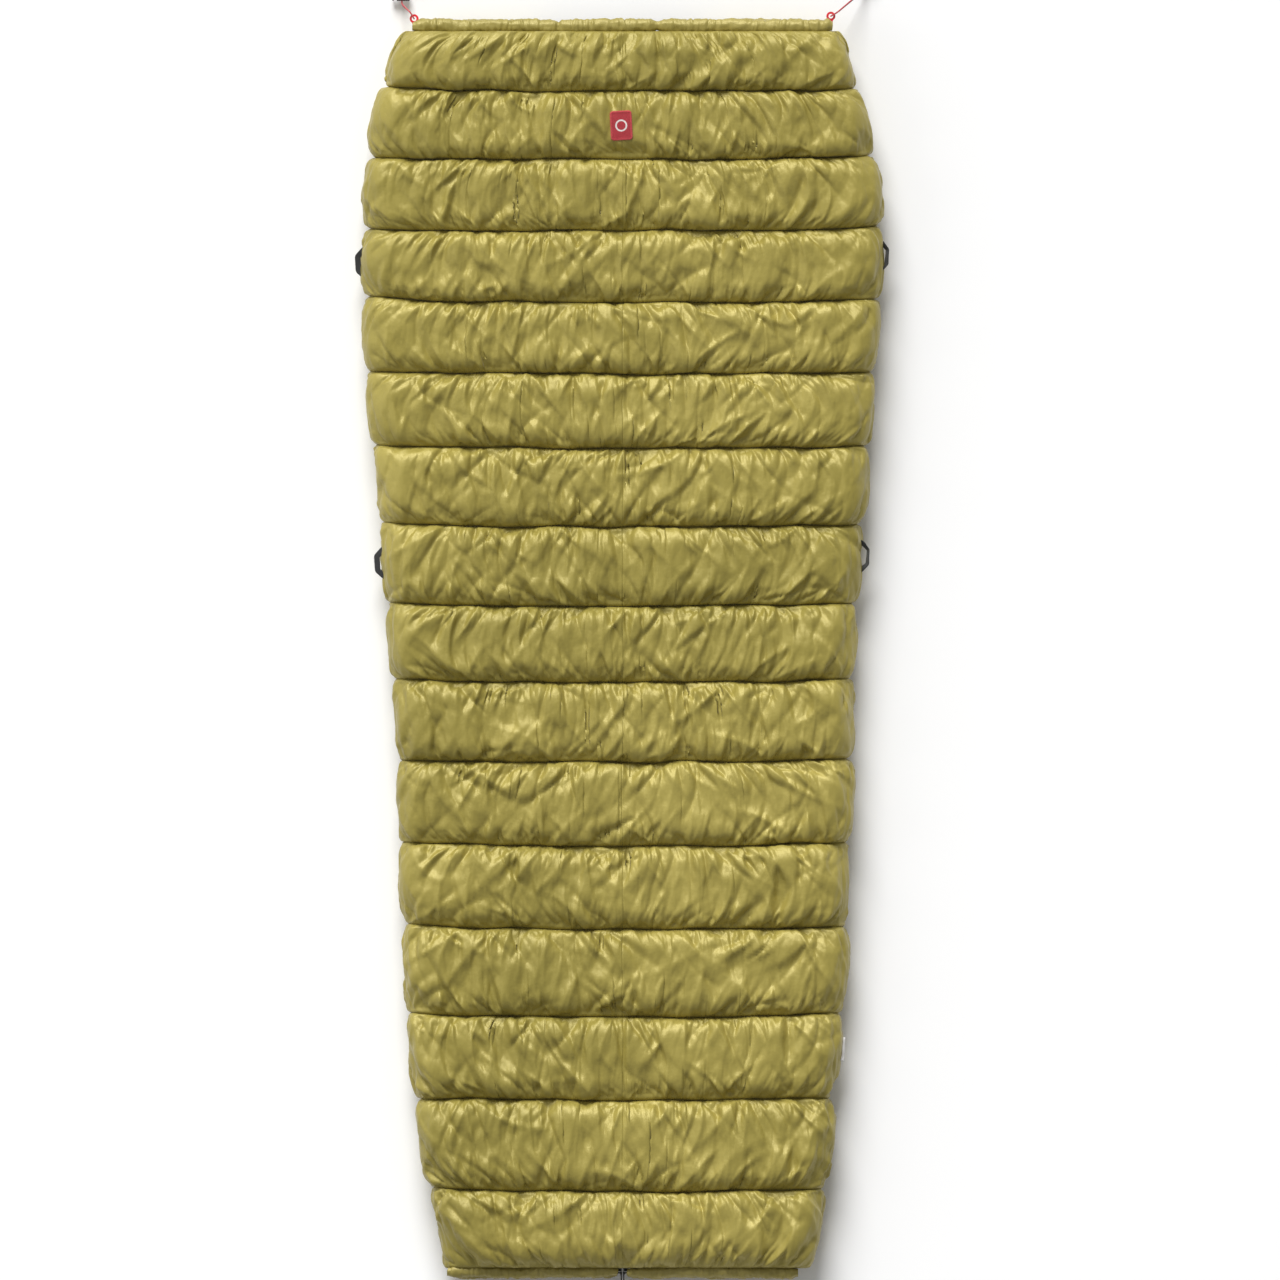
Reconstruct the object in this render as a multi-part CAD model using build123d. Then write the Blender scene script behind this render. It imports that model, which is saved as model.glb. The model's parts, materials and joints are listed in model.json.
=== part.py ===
from build123d import *
import os
from math import sin, cos, hypot, radians, atan2, degrees

# Camp quilt, laid flat and face up, with its two side flaps folded underneath.
# +Z is up, +Y towards the head, +X to the right as seen from above. Pieces named left lie at -X.
# The origin is on the floor at the centre of the laid-out quilt. Millimetres.

# ---------------------------------------------------------------- driving dimensions
LENGTH = 1955.0            # head hem to foot hem
Y_HEAD = 958.355           # head hem line, set so that the whole object is centred on the origin
Y_FOOT = Y_HEAD - LENGTH
HEM_HEAD = 17.0            # width of the head drawcord tunnel
HEM_FOOT = 14.0            # width of the foot drawcord tunnel
# chamber pitches from head to foot
PITCHES = [93.3, 106.5, 111.2, 111.2, 111.2, 115.1, 122.8, 122.8, 119.0, 123.6,
           131.4, 128.3, 136.8, 129.1, 141.5, 120.2]
CHAMBERS = len(PITCHES)

LOFT = 50.0                # thickness of one padded layer at the crown of a chamber
VALLEY = 27.0              # thickness of one padded layer at a seam
SLOPE_SHARE = 0.2          # share of a chamber's length that slopes, at each end
FOLD_Z = LOFT              # fold plane: flaps below it, centre panel above it
LAYER_GAP = 1.0            # lining to fold plane, each side
SHELL_T = 0.6              # shell fabric with its seam allowance
LINING_T = 0.5
WALL_T = 0.5               # baffle wall between two chambers
CLEAR = 0.2                # fill to fabric
LINING_TOP = LAYER_GAP + LINING_T
FILL_INSET = SHELL_T + CLEAR
FOLD_BACK = 2.0            # shell stands this far inside the fold line

# fold line of the side: straight and tapering towards the foot
FOLD_REF_W = 398.9         # half-width at the reference place
FOLD_REF_L = 357.7         # reference place, measured from the head hem
FOLD_SLOPE = 0.0640        # narrowing per mm of length
FOLD_ANGLE = degrees(atan2(FOLD_SLOPE, 1.0))
# the corners draw in towards both hems
HEAD_CORNER_W = 331.0
HEAD_CORNER_L = 328.0      # head hem to the widest place
FOOT_CORNER_W = 277.0
FOOT_CORNER_L = 134.0

NECK_GAP_W = 130.0         # half-gap between the flap hems at the head
ZIP_LEN = 500.0            # foot-box zip
ZIP_HEM = 7.0              # flap hem to centre line along the zip
ZIP_Z = 25.0
Y_ZIP_TOP = Y_FOOT + ZIP_LEN

SIDES = ((-1, "left"), (1, "right"))

os.makedirs("parts", exist_ok=True)


def save(name, shapes):
    """Writes one piece as its clean solids."""
    solids = [solid for shape in shapes for solid in shape.solids()]
    piece = solids[0] if len(solids) == 1 else Compound(children=solids)
    piece.label = name
    export_step(piece, f"parts/{name}.step")


def fold_x(y):
    """Half-width of the fold line at a place along the quilt."""
    return FOLD_REF_W - FOLD_SLOPE * ((Y_HEAD - y) - FOLD_REF_L)


# seam lines from the head hem's inner edge to the foot hem's inner edge
SEAMS = [Y_HEAD - HEM_HEAD]
for pitch in PITCHES:
    SEAMS.append(SEAMS[-1] - pitch)

# ---------------------------------------------------------------- padded layers
# In this section, way is +1 for the centre panel (upwards from the fold plane)
# and -1 for the flaps (downwards). Heights are measured from the fold plane.
PANEL_SPAN = 1200.0        # wider than the quilt
LINE_OVERRUN = 3000.0      # how far a cutting block runs on beyond the start of its line

# straight lines that bound each side, as (x, y) from head to foot
SIDE_LINES = (
    ((fold_x(Y_HEAD), Y_HEAD), (fold_x(Y_FOOT), Y_FOOT)),
    ((HEAD_CORNER_W, Y_HEAD), (fold_x(Y_HEAD - HEAD_CORNER_L), Y_HEAD - HEAD_CORNER_L)),
    ((fold_x(Y_FOOT + FOOT_CORNER_L), Y_FOOT + FOOT_CORNER_L), (FOOT_CORNER_W, Y_FOOT)),
)


def prism_yz(points):
    """Solid of a (y, z) outline, across the whole width."""
    outline = Wire.make_polygon([Vector(-PANEL_SPAN / 2, y, z) for y, z in points], close=True)
    return Solid.extrude(Face(outline), Vector(PANEL_SPAN, 0, 0))


def plate(points, z, height):
    """Solid of an (x, y) outline, from z upwards."""
    outline = Wire.make_polygon([Vector(x, y, z) for x, y in points], close=True)
    return Solid.extrude(Face(outline), Vector(0, 0, height))


def layer(offset, base, way):
    """All chambers side by side, flat on the lining side and offset inwards on the puffed side."""
    base_z = FOLD_Z + way * base
    valley_z = FOLD_Z + way * (VALLEY - offset)
    crown_z = FOLD_Z + way * (LOFT - offset)
    points = [(SEAMS[0], base_z), (SEAMS[0], valley_z)]
    for y0, y1 in zip(SEAMS, SEAMS[1:]):
        slope = SLOPE_SHARE * (y0 - y1)
        points += [(y0 - slope, crown_z), (y1 + slope, crown_z), (y1, valley_z)]
    points.append((SEAMS[-1], base_z))
    return prism_yz(points)


def side_envelope(side, start, end, inset, way):
    """Everything inboard of a side line, with a quarter round rising from the fold plane."""
    gap = FOLD_BACK + inset
    radius = LOFT - FOLD_BACK - inset
    length = hypot(end[0] - start[0], end[1] - start[1])
    dx, dy = (end[0] - start[0]) / length, (end[1] - start[1]) / length
    x0, y0 = start[0] - dx * LINE_OVERRUN, start[1] - dy * LINE_OVERRUN

    def point(inboard, height):
        return Vector(side * (x0 + dy * inboard), y0 - dx * inboard, FOLD_Z + way * height)

    crown = gap + radius
    diagonal = radius * 0.70710678
    far, high, low = 1700, 120, -20
    edges = [
        Edge.make_three_point_arc(point(gap, 0), point(crown - diagonal, diagonal),
                                  point(crown, radius)),
        Edge.make_line(point(crown, radius), point(crown, high)),
        Edge.make_line(point(crown, high), point(far, high)),
        Edge.make_line(point(far, high), point(far, low)),
        Edge.make_line(point(far, low), point(gap, low)),
        Edge.make_line(point(gap, low), point(gap, 0)),
    ]
    run = 2 * LINE_OVERRUN
    return Solid.extrude(Face(Wire(edges)), Vector(side * dx * run, dy * run, 0))


def flap_block(side, inset):
    """Block outboard of a flap's inner hem: slanting away from the zip top towards the head."""
    x_head, x_zip = NECK_GAP_W + inset, ZIP_HEM + inset
    beyond, outboard = 60, 900
    points = [(x_zip, Y_FOOT - beyond), (x_zip, Y_ZIP_TOP), (x_head, Y_HEAD),
              (x_head + 25, Y_HEAD + beyond), (outboard, Y_HEAD + beyond),
              (outboard, Y_FOOT - beyond)]
    return plate([(side * x, y) for x, y in points], -60, 220)


def save_panel(way, sides, panel, fill_names):
    """Shell, lining, walls and fills of one panel. A single fill name takes all the fills."""
    def trim(body, inset):
        for side in sides:
            for start, end in SIDE_LINES:
                body = body & side_envelope(side, start, end, inset, way)
        if way < 0:
            body = body & flap_block(sides[0], inset)
        return body

    # the cutter runs 5 mm past the lining side, which leaves the shell open there
    outer = trim(layer(0.0, LAYER_GAP, way), 0.0)
    inner = trim(layer(SHELL_T, LAYER_GAP - 5.0, way), SHELL_T)
    save(f"outer_shell_{panel}", [outer - inner])

    # flat lining sheet, inside the shell's edges
    z0, z1 = FOLD_Z + way * LAYER_GAP, FOLD_Z + way * LINING_TOP
    y0, y1 = SEAMS[0] - 0.3, SEAMS[-1] + 0.3
    sheet = prism_yz([(y0, z0), (y0, z1), (y1, z1), (y1, z0)])
    save(f"inner_lining_{panel}", [trim(sheet, FILL_INSET + 0.4)])

    # one body of fill, cut into chambers at the baffle walls
    fill_base = LINING_TOP + CLEAR
    fill_all = trim(layer(FILL_INSET, fill_base, way), FILL_INSET)
    wall_gap, hem_gap = WALL_T / 2 + CLEAR, 1.0
    fills = []
    for i in range(CHAMBERS):
        y0 = SEAMS[i] - (wall_gap if i else hem_gap)
        y1 = SEAMS[i + 1] + (wall_gap if i < CHAMBERS - 1 else hem_gap)
        slab = Box(PANEL_SPAN, y0 - y1, 300).moved(Location((0, (y0 + y1) / 2, FOLD_Z)))
        fills.append(fill_all & slab)
    if len(fill_names) == 1:
        save(fill_names[0], fills)
    else:
        for name, fill in zip(fill_names, fills):
            save(name, [fill])

    wall_top = VALLEY - SHELL_T - CLEAR
    walls = []
    for y in SEAMS[1:-1]:
        wall = Box(PANEL_SPAN, WALL_T, wall_top - fill_base).moved(
            Location((0, y, FOLD_Z + way * (wall_top + fill_base) / 2)))
        walls.append(trim(wall, FILL_INSET))
    save(f"baffle_walls_{panel}", walls)


save_panel(+1, (-1, 1), "centre", [f"down_chamber_{i + 1:02d}" for i in range(CHAMBERS)])
for side, hand in SIDES:
    save_panel(-1, (side,), f"{hand}_flap", [f"down_chambers_{hand}_flap"])

# ---------------------------------------------------------------- hem tunnels
TUNNEL_H = 10.0            # overall height of the flattened tunnel
TUNNEL_RISE = 12.0         # tunnel centre to fold plane
TUNNEL_FABRIC = 0.8
TUNNEL_END = 4.0           # tunnel end to hem corner
CORD_EXIT = 7.0            # half of the gap in the centre foot tunnel
Y_HEAD_TUNNEL = Y_HEAD - HEM_HEAD / 2
Y_FOOT_TUNNEL = Y_FOOT + HEM_FOOT / 2
HEAD_TUNNEL_X = HEAD_CORNER_W - TUNNEL_END
FOOT_TUNNEL_X = FOOT_CORNER_W - TUNNEL_END


def tunnel(y, depth, way, end_a, end_b):
    """Flattened hem tunnel along X, open at its ends for the cord."""
    x0, x1 = sorted((end_a, end_b))
    width = depth - 0.6
    profile = SlotOverall(width, TUNNEL_H) - SlotOverall(width - 2 * TUNNEL_FABRIC,
                                                         TUNNEL_H - 2 * TUNNEL_FABRIC)
    plane = Plane(origin=(x0, y, FOLD_Z + way * TUNNEL_RISE), x_dir=(0, 1, 0), z_dir=(1, 0, 0))
    return extrude(plane * profile, x1 - x0)


save("head_hem_centre", [tunnel(Y_HEAD_TUNNEL, HEM_HEAD, 1, -HEAD_TUNNEL_X, HEAD_TUNNEL_X)])
# the foot tunnel of the centre panel leaves a gap where the cord comes out
save("foot_hem_centre", [tunnel(Y_FOOT_TUNNEL, HEM_FOOT, 1, side * CORD_EXIT, side * FOOT_TUNNEL_X)
                         for side, hand in SIDES])
for side, hand in SIDES:
    save(f"hems_{hand}_flap", [
        tunnel(Y_HEAD_TUNNEL, HEM_HEAD, -1, side * (NECK_GAP_W + 2), side * HEAD_TUNNEL_X),
        tunnel(Y_FOOT_TUNNEL, HEM_FOOT, -1, side * (ZIP_HEM + 1), side * FOOT_TUNNEL_X)])

# ---------------------------------------------------------------- cords
CORD_D = 2.2               # shock cord
NECK_ELASTIC_R = 1.5
CORD_END = 8.0             # cord end in a tunnel to hem corner
CORD_Z = FOLD_Z + TUNNEL_RISE
LOCK_Z = 10.0              # height of the cord locks and of the cords through them
# half spacings of the two strands
STACK_HALF = 1.7           # one above the other beside the floor
SLOPE_HALF = 1.9           # where they lead down to the floor
TAB_HALF = 3.6             # one above the other at the ring tab
FOOT_HALF = 1.9            # side by side at the foot tunnel
KNOT_R = 4.2
KNOT_GAP = 0.1             # cord end to knot
FOOT_TAIL = 75.0           # foot hem to the end of the foot cord
FOOT_LOCK = 42.0           # foot hem to the foot cord lock

TAB_X = 324.0              # ring tab hole to the centre line
# Each head corner, measured outboard from the ring tab hole and headwards:
# tab: hole beyond the head hem
# slope: (outboard, headwards) from the hole to where the cord's slope begins and ends
# tail, lock: cord end and cord lock beyond the head hem
NECK_CORNERS = {
    "left": dict(side=-1, tab=2.0, slope=((6.0, 10.0), (19.0, 22.0)), tail=82.0, lock=36.0),
    "right": dict(side=1, tab=6.0, slope=((11.0, 6.5), (53.0, 42.0)), tail=113.29, lock=64.0),
}


def cord(points, radii):
    """Round cord along a line of straight runs, each corner turned with its own radius."""
    points = [Vector(*p) for p in points]
    start, runs = points[0], []

    def disc(centre, direction):
        circle = Edge.make_circle(CORD_D / 2, Plane(origin=centre, z_dir=direction))
        return Face(Wire([circle]))

    def add_run(begin, end):
        runs.append(Solid.extrude(disc(begin, (end - begin).normalized()), end - begin))

    for before, corner, after, radius in zip(points, points[1:], points[2:], radii):
        dir_in = (corner - before).normalized()
        dir_out = (after - corner).normalized()
        turn = radians(dir_in.get_angle(dir_out))
        setback = radius * sin(turn / 2) / cos(turn / 2)
        bend_start = corner - dir_in * setback
        inward = (dir_out - dir_in * dir_in.dot(dir_out)).normalized()
        add_run(start, bend_start)
        axis = Axis(bend_start + inward * radius, dir_in.cross(dir_out).normalized())
        runs.append(Solid.revolve(disc(bend_start, dir_in), degrees(turn), axis))
        start = corner + dir_out * setback
    add_run(start, points[-1])
    return runs[0].fuse(*runs[1:])


def knot(x, y):
    """Ball-shaped knot where both strands end."""
    return Sphere(KNOT_R).moved(Location((x, y, LOCK_Z)))


def slope_turns(begin, end, level_z, level_half, strand):
    """Distances along the way at which one strand turns into and out of its slope.
    The pair runs level at level_z, slopes from begin to end, then runs level beside the floor.
    strand is +1 for the upper strand and -1 for the lower."""
    drop = level_z - LOCK_Z
    length = hypot(end - begin, drop)
    across = begin + strand * SLOPE_HALF * drop / length
    z = level_z + strand * SLOPE_HALF * (end - begin) / length
    run_per_drop = (end - begin) / drop
    return (across - (level_z + strand * level_half - z) * run_per_drop,
            across + (z - LOCK_Z - strand * STACK_HALF) * run_per_drop)


def neck_cord(hole_x, hole_y, slope_start, slope_end, tail_y):
    """Hairpin of cord through the ring tab, both strands led down beside the quilt and knotted.
    slope_start and slope_end are (x, y) places."""
    (x1, y1), (x2, y2) = slope_start, slope_end
    dist1 = hypot(x1 - hole_x, y1 - hole_y)
    dist2 = dist1 + hypot(x2 - x1, y2 - y1)

    def place(dist):
        if dist <= dist1:
            share = dist / dist1
            return hole_x + (x1 - hole_x) * share, hole_y + (y1 - hole_y) * share
        share = (dist - dist1) / (dist2 - dist1)
        return x1 + (x2 - x1) * share, y1 + (y2 - y1) * share

    strands = []
    for strand, radii in ((1, (3.0, 6.0, 3.4)), (-1, (3.0, 3.0, 7.0))):
        turn1, turn2 = slope_turns(dist1, dist2, FOLD_Z, TAB_HALF, strand)
        tab_z = FOLD_Z + strand * TAB_HALF
        floor_z = LOCK_Z + strand * STACK_HALF
        strands.append(cord([(hole_x, hole_y, FOLD_Z + strand * 0.05), (hole_x, hole_y, tab_z),
                             (*place(turn1), tab_z), (x2, place(turn2)[1], floor_z),
                             (x2, tail_y, floor_z)], radii))
    return strands + [knot(x2, tail_y + KNOT_R + KNOT_GAP)]


def foot_cord():
    """Two halves inside the foot tunnel, each turning out at the middle, knotted at the end."""
    strands = []
    for strand, last_radius in ((-1, 7.0), (1, 3.4)):
        turn = slope_turns(8.0, 30.0, CORD_Z, 0.0, strand)[1]
        floor_z = LOCK_Z + strand * STACK_HALF
        strands.append(cord([(strand * (FOOT_CORNER_W - CORD_END), Y_FOOT_TUNNEL, CORD_Z),
                             (strand * FOOT_HALF, Y_FOOT_TUNNEL, CORD_Z),
                             (strand * FOOT_HALF, Y_FOOT - 8, CORD_Z),
                             (0, Y_FOOT - turn, floor_z),
                             (0, Y_FOOT - FOOT_TAIL, floor_z)], (4.0, 5.0, last_radius)))
    return strands + [knot(0, Y_FOOT - FOOT_TAIL - KNOT_R - KNOT_GAP)]


# straight elastic inside the centre head tunnel
save("neck_drawcord", [Cylinder(NECK_ELASTIC_R, 2 * (HEAD_CORNER_W - CORD_END)).moved(
    Location((0, Y_HEAD_TUNNEL, CORD_Z), (0, 90, 0)))])
save("foot_drawcord", foot_cord())


# ---------------------------------------------------------------- ring tabs
def ring_tab(x, y, angle):
    """Ring at (x, y) with a tongue towards the quilt and a thicker bar at its end."""
    body = Cylinder(7.0, 2.2) + Box(9.0, 16.0, 2.2).moved(Location((0, -8.0, 0)))
    body = body + Box(11.0, 3.0, 3.2).moved(Location((0, -14.0, 0)))
    body = body - Cylinder(3.6, 6)
    return body.moved(Location((x, y, FOLD_Z), (0, 0, angle)))


# ---------------------------------------------------------------- cord locks
BARREL_R = 6.5
CORD_SLOT_H = 6.4


def along_x(radius, length, start):
    """Cylinder along X from start."""
    return Cylinder(radius, length).rotate(Axis.Y, 90).moved(Location((start + length / 2, 0, 0)))


def lock_barrel():
    """Grooved barrel with a blind bore open at +X and a slot along Y for the cord."""
    barrel = along_x(BARREL_R, 20, -12)
    barrel = fillet(barrel.edges().filter_by(GeomType.CIRCLE), 1.2)
    for groove_x in (-8.5, -5.5, 4.5):
        ring = (Cylinder(BARREL_R + 1, 1.2) - Cylinder(BARREL_R - 0.5, 1.2)).rotate(Axis.Y, 90)
        barrel = barrel - ring.moved(Location((groove_x, 0, 0)))
    # the bore runs 0.01 mm past the barrel's open end
    barrel = barrel - along_x(4.6, 18.5, -10.49)
    slot = Box(2.8, 20, CORD_SLOT_H)
    slot = fillet(slot.edges().filter_by(Axis.Y), 1.2)
    return barrel - slot


def lock_button():
    """Stem and cap, with a window along Y for the cord."""
    stem = along_x(4.45, 15.4, -2.8)
    cap = along_x(6.0, 2.6, 12.5)
    cap = fillet(cap.edges().filter_by(GeomType.CIRCLE), 0.8)
    return stem + cap - Box(6.8, 20, CORD_SLOT_H).moved(Location((2.0, 0, 0)))


def lock_spring():
    """Spring between the bottom of the bore and the stem."""
    helix = Helix(pitch=1.7, height=6.4, radius=3.1)
    profile = Plane(origin=helix @ 0, z_dir=helix % 0) * Circle(0.35)
    spring = sweep(profile, path=helix, is_frenet=True)
    return spring.rotate(Axis.Y, 90).moved(Location((-9.9, 0, 0)))


def save_lock(place, x, y, side=1, ending=""):
    """Cord lock with the cord along Y and the button towards +X, or -X where side is -1."""
    for name, piece in (("cord_lock", lock_barrel()), ("lock_button", lock_button()),
                        ("lock_spring", lock_spring())):
        if side < 0:
            piece = piece.mirror(Plane.YZ)
        save(f"{place}_{name}{ending}", [piece.moved(Location((x, y, LOCK_Z)))])


for hand, corner in NECK_CORNERS.items():
    side = corner["side"]
    hole_y = Y_HEAD + corner["tab"]
    slope_start, slope_end = [(side * (TAB_X + out), hole_y + up) for out, up in corner["slope"]]
    save(f"neck_cord_{hand}", neck_cord(side * TAB_X, hole_y, slope_start, slope_end,
                                        Y_HEAD + corner["tail"]))
    save(f"ring_tab_{hand}", [ring_tab(side * TAB_X, hole_y, -side * 12)])
    save_lock("neck", slope_end[0], Y_HEAD + corner["lock"], side, f"_{hand}")
save_lock("foot", 0.0, Y_FOOT - FOOT_LOCK)


# ---------------------------------------------------------------- side loops, label and patch
def at_fold(side, from_head, outboard=0.0, z=0.0):
    """Location on the fold line a given length below the head hem, turned along the line."""
    y = Y_HEAD - from_head
    return Location((side * fold_x(y) + outboard, y, z), (0, 0, -side * FOLD_ANGLE))


def webbing_loop(side, from_head, reach):
    """Flat trapezoid of webbing, both ends sewn into the side seam.
    Outlines are (outboard from the fold line, along it)."""
    outline = [(-5, 26), (2, 26), (reach, 12), (reach, -12), (2, -26), (-5, -26)]
    opening = [(-5, 18.5), (1.5, 18.5), (9, 9), (9, -9), (1.5, -18.5), (-5, -18.5)]
    band = plate([(side * u, v) for u, v in outline], FOLD_Z - 0.6, 1.2)
    cutter = plate([(side * u, v) for u, v in opening], FOLD_Z - 2.6, 5)
    return (band - cutter).moved(at_fold(side, from_head))


# side, length below the head hem, reach beyond the fold line
SIDE_LOOPS = {
    "upper_left": (-1, 378.0, 18.5),
    "lower_left": (-1, 844.0, 18.5),
    "upper_right": (1, 367.0, 17.8),
    "lower_right": (1, 834.0, 17.8),
}
for place, (side, from_head, reach) in SIDE_LOOPS.items():
    save(f"side_loop_{place}", [webbing_loop(side, from_head, reach)])

LABEL_FROM_HEAD = 1599.0
save("care_label", [Box(30, 37, 0.5).moved(at_fold(1, LABEL_FROM_HEAD, 11, FOLD_Z))])

# woven patch on the second chamber
PATCH_FROM_HEAD = 164.0
save("woven_patch", [fillet(Box(34, 46, 1.0).edges().filter_by(Axis.Z), 5.0).moved(
    Location((-2.0, Y_HEAD - PATCH_FROM_HEAD, FOLD_Z + LOFT + 0.7), (0, 0, 3)))])

# ---------------------------------------------------------------- foot-box zip
ZIP_PARK = 14.0            # the right side runs on above the left so that the slider can park
ZIP_BOTTOM = Y_FOOT + 9.0
SLIDER_Y = Y_ZIP_TOP + 8.0
PULLER_Z = ZIP_Z - 5.05


def save_zip_side(side, hand):
    """Tape, coil and bottom end stop of one half of the zip."""
    top = Y_ZIP_TOP + (ZIP_PARK if side > 0 else 0.0)
    length = top - ZIP_BOTTOM
    y_mid = (top + ZIP_BOTTOM) / 2
    tape = Box(4.0, length, 0.6)
    save(f"zip_tape_{hand}", [tape.moved(Location((side * 4.7, y_mid, ZIP_Z)))])
    coil = Box(1.8, length, 2.4)
    coil = chamfer(coil.edges().filter_by(Axis.Y), 0.6)
    save(f"zip_coil_{hand}", [coil.moved(Location((side * 1.55, y_mid, ZIP_Z)))])
    stop = Box(3.4, 4.0, 4.0)
    save(f"zip_end_stop_{hand}", [stop.moved(Location((side * 2.4, ZIP_BOTTOM - 2.5, ZIP_Z)))])


def zip_slider():
    """Two plates joined by a blade, with side lips and an arch underneath for the puller."""
    lower, upper = [
        fillet(Box(10.6, 12, 1.2).moved(Location((0, 0, z))).edges().filter_by(Axis.Z), 2.5)
        for z in (-3.1, 3.1)]
    slider = lower + upper + Box(0.7, 3.0, 6.0).moved(Location((0, 4.0, 0)))
    for x in (-4.9, 4.9):
        for z in (-1.85, 1.85):
            slider = slider + Box(0.8, 9, 1.5).moved(Location((x, 0, z)))
    for y in (-3.4, 3.4):
        slider = slider + Box(1.6, 1.4, 3.6).moved(Location((0, y, -5.2)))
    return slider + Box(1.6, 8.2, 0.9).moved(Location((0, 0, -6.85)))


def zip_puller():
    """Cross bar, two arms and a rounded tab with a hole."""
    bar = along_x(0.65, 6.4, -3.2)
    arms = [Box(1.2, 7.0, 1.1).moved(Location((x, -3.0, 0))) for x in (-2.6, 2.6)]
    tab = Box(6.4, 15.0, 1.1).moved(Location((0, -13.5, 0)))
    tab = fillet(tab.edges().filter_by(Axis.Z), 1.5)
    return bar + arms[0] + arms[1] + tab - Cylinder(1.3, 4).moved(Location((0, -18.0, 0)))


for side, hand in SIDES:
    save_zip_side(side, hand)
save("zip_slider", [zip_slider().moved(Location((0, SLIDER_Y, ZIP_Z)))])
save("zip_puller", [zip_puller().moved(Location((0, SLIDER_Y, PULLER_Z)))])
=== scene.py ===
"""Camp quilt with two flaps folded under its centre panel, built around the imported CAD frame.

It lies flat: X across (left is -X), Y from foot to head (+Y), Z up. The centre panel is above
z = MID, the flaps are below it. Lengths are millimetres until meshes, lights and camera are made.
"""
import json
import math

import bpy
import numpy as np
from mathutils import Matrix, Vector


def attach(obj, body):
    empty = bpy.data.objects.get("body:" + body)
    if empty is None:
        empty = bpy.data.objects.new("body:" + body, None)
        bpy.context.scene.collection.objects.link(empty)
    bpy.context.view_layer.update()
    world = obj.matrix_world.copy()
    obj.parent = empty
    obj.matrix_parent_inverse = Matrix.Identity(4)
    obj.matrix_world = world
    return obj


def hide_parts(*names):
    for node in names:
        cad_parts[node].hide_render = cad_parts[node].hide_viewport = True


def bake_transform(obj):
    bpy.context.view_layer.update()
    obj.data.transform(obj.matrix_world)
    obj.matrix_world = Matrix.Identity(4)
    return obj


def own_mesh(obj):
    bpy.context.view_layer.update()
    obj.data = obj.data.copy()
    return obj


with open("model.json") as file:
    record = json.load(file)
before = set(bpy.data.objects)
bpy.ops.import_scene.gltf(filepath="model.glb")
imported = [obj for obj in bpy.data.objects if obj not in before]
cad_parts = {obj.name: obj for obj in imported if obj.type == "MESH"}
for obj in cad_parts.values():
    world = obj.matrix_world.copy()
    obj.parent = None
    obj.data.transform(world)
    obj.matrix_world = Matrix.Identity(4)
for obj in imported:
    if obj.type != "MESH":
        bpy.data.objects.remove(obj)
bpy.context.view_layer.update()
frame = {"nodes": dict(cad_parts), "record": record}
BODY = {node: body for body, nodes in frame["record"]["behaviour"]["bodies"].items()
        for node in nodes}
SIDES = (("left", -1), ("right", 1))

# ------------------------------------------------------------------ layout
Y_HEAD = 958.355
Y_FOOT = Y_HEAD - 1955.0
HEM_HEAD, HEM_FOOT = 17.0, 14.0  # extent of the end hems along Y
Y_HEAD_HEM = Y_HEAD - HEM_HEAD / 2
Y_FOOT_HEM = Y_FOOT + HEM_FOOT / 2
Y_ZIP = Y_FOOT + 500.0  # head end of the foot-box zip
# depth of each chamber along Y, head to foot
PITCH = [93.3, 106.5, 111.2, 111.2, 111.2, 115.1, 122.8, 122.8, 119.0, 123.6,
         131.4, 128.3, 136.8, 129.1, 141.5, 120.2]
CHAMBERS = len(PITCH)
SEAM_Y = np.subtract.accumulate([Y_HEAD - HEM_HEAD, *PITCH])
# half-widths of the outline (left row, right row) at the seams and at the chamber crowns
SEAM_W = (
    [326, 364, 384, 391, 393, 392, 382, 371, 361, 352, 343, 341, 333, 329, 313, 294, 273],
    [326, 358, 381, 394, 391, 384, 375, 365, 356, 351, 348, 346, 343, 335, 320, 309, 286])
CROWN_W = (
    [357, 386, 401, 402, 398, 391, 379, 368, 358, 350, 346, 341, 334, 327, 309, 281],
    [349, 379, 399, 399, 393, 385, 376, 365, 357, 354, 354, 348, 344, 332, 323, 300])
MID = 50.0  # height where centre panel and flaps meet
H_SEAM, H_CROWN, H_END = 26.0, 47.0, 15.0  # half-heights: inner seams, crowns, end seams
NH, NV = ((421, 56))  # points over half the girth, and seam to seam
FOLD_SLOPE = 0.0640  # taper of the fold line towards the foot
FOLD_ANGLE = math.atan(FOLD_SLOPE)
INNER_FOOT, INNER_HEAD = 7.5, 130.0  # inner hem of the flaps, from the centre line
PATCH_X, PATCH_Y = -2.0, Y_HEAD - 164.0


def fold_x(y):
    """Distance of the fold line from the centre line."""
    return 398.9 - FOLD_SLOPE * ((Y_HEAD - y) - 357.7)


def inner_x(y):
    """Distance of the flaps' inner hem from the centre line."""
    t = np.clip((y - Y_ZIP) / (Y_HEAD - Y_ZIP), 0, 1)
    return INNER_FOOT + t * (INNER_HEAD - INNER_FOOT)


def smooth(t):
    t = np.clip(t, 0, 1)
    return t * t * (3 - 2 * t)


def random_curve(rng, count, step, wavelength):
    """Smooth random curve, unit spread."""
    freq = np.fft.rfftfreq(count, step)
    spectrum = np.fft.rfft(rng.standard_normal(count)) * np.exp(-2.0 * (freq * wavelength) ** 2)
    curve = np.fft.irfft(spectrum, count)
    return curve / (curve.std() + 1e-9)


def turned(x, y, angle, origin):
    """Points turned about Z, then moved to origin."""
    c, s = math.cos(angle), math.sin(angle)
    return origin[0] + x * c - y * s, origin[1] + x * s + y * c


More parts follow.
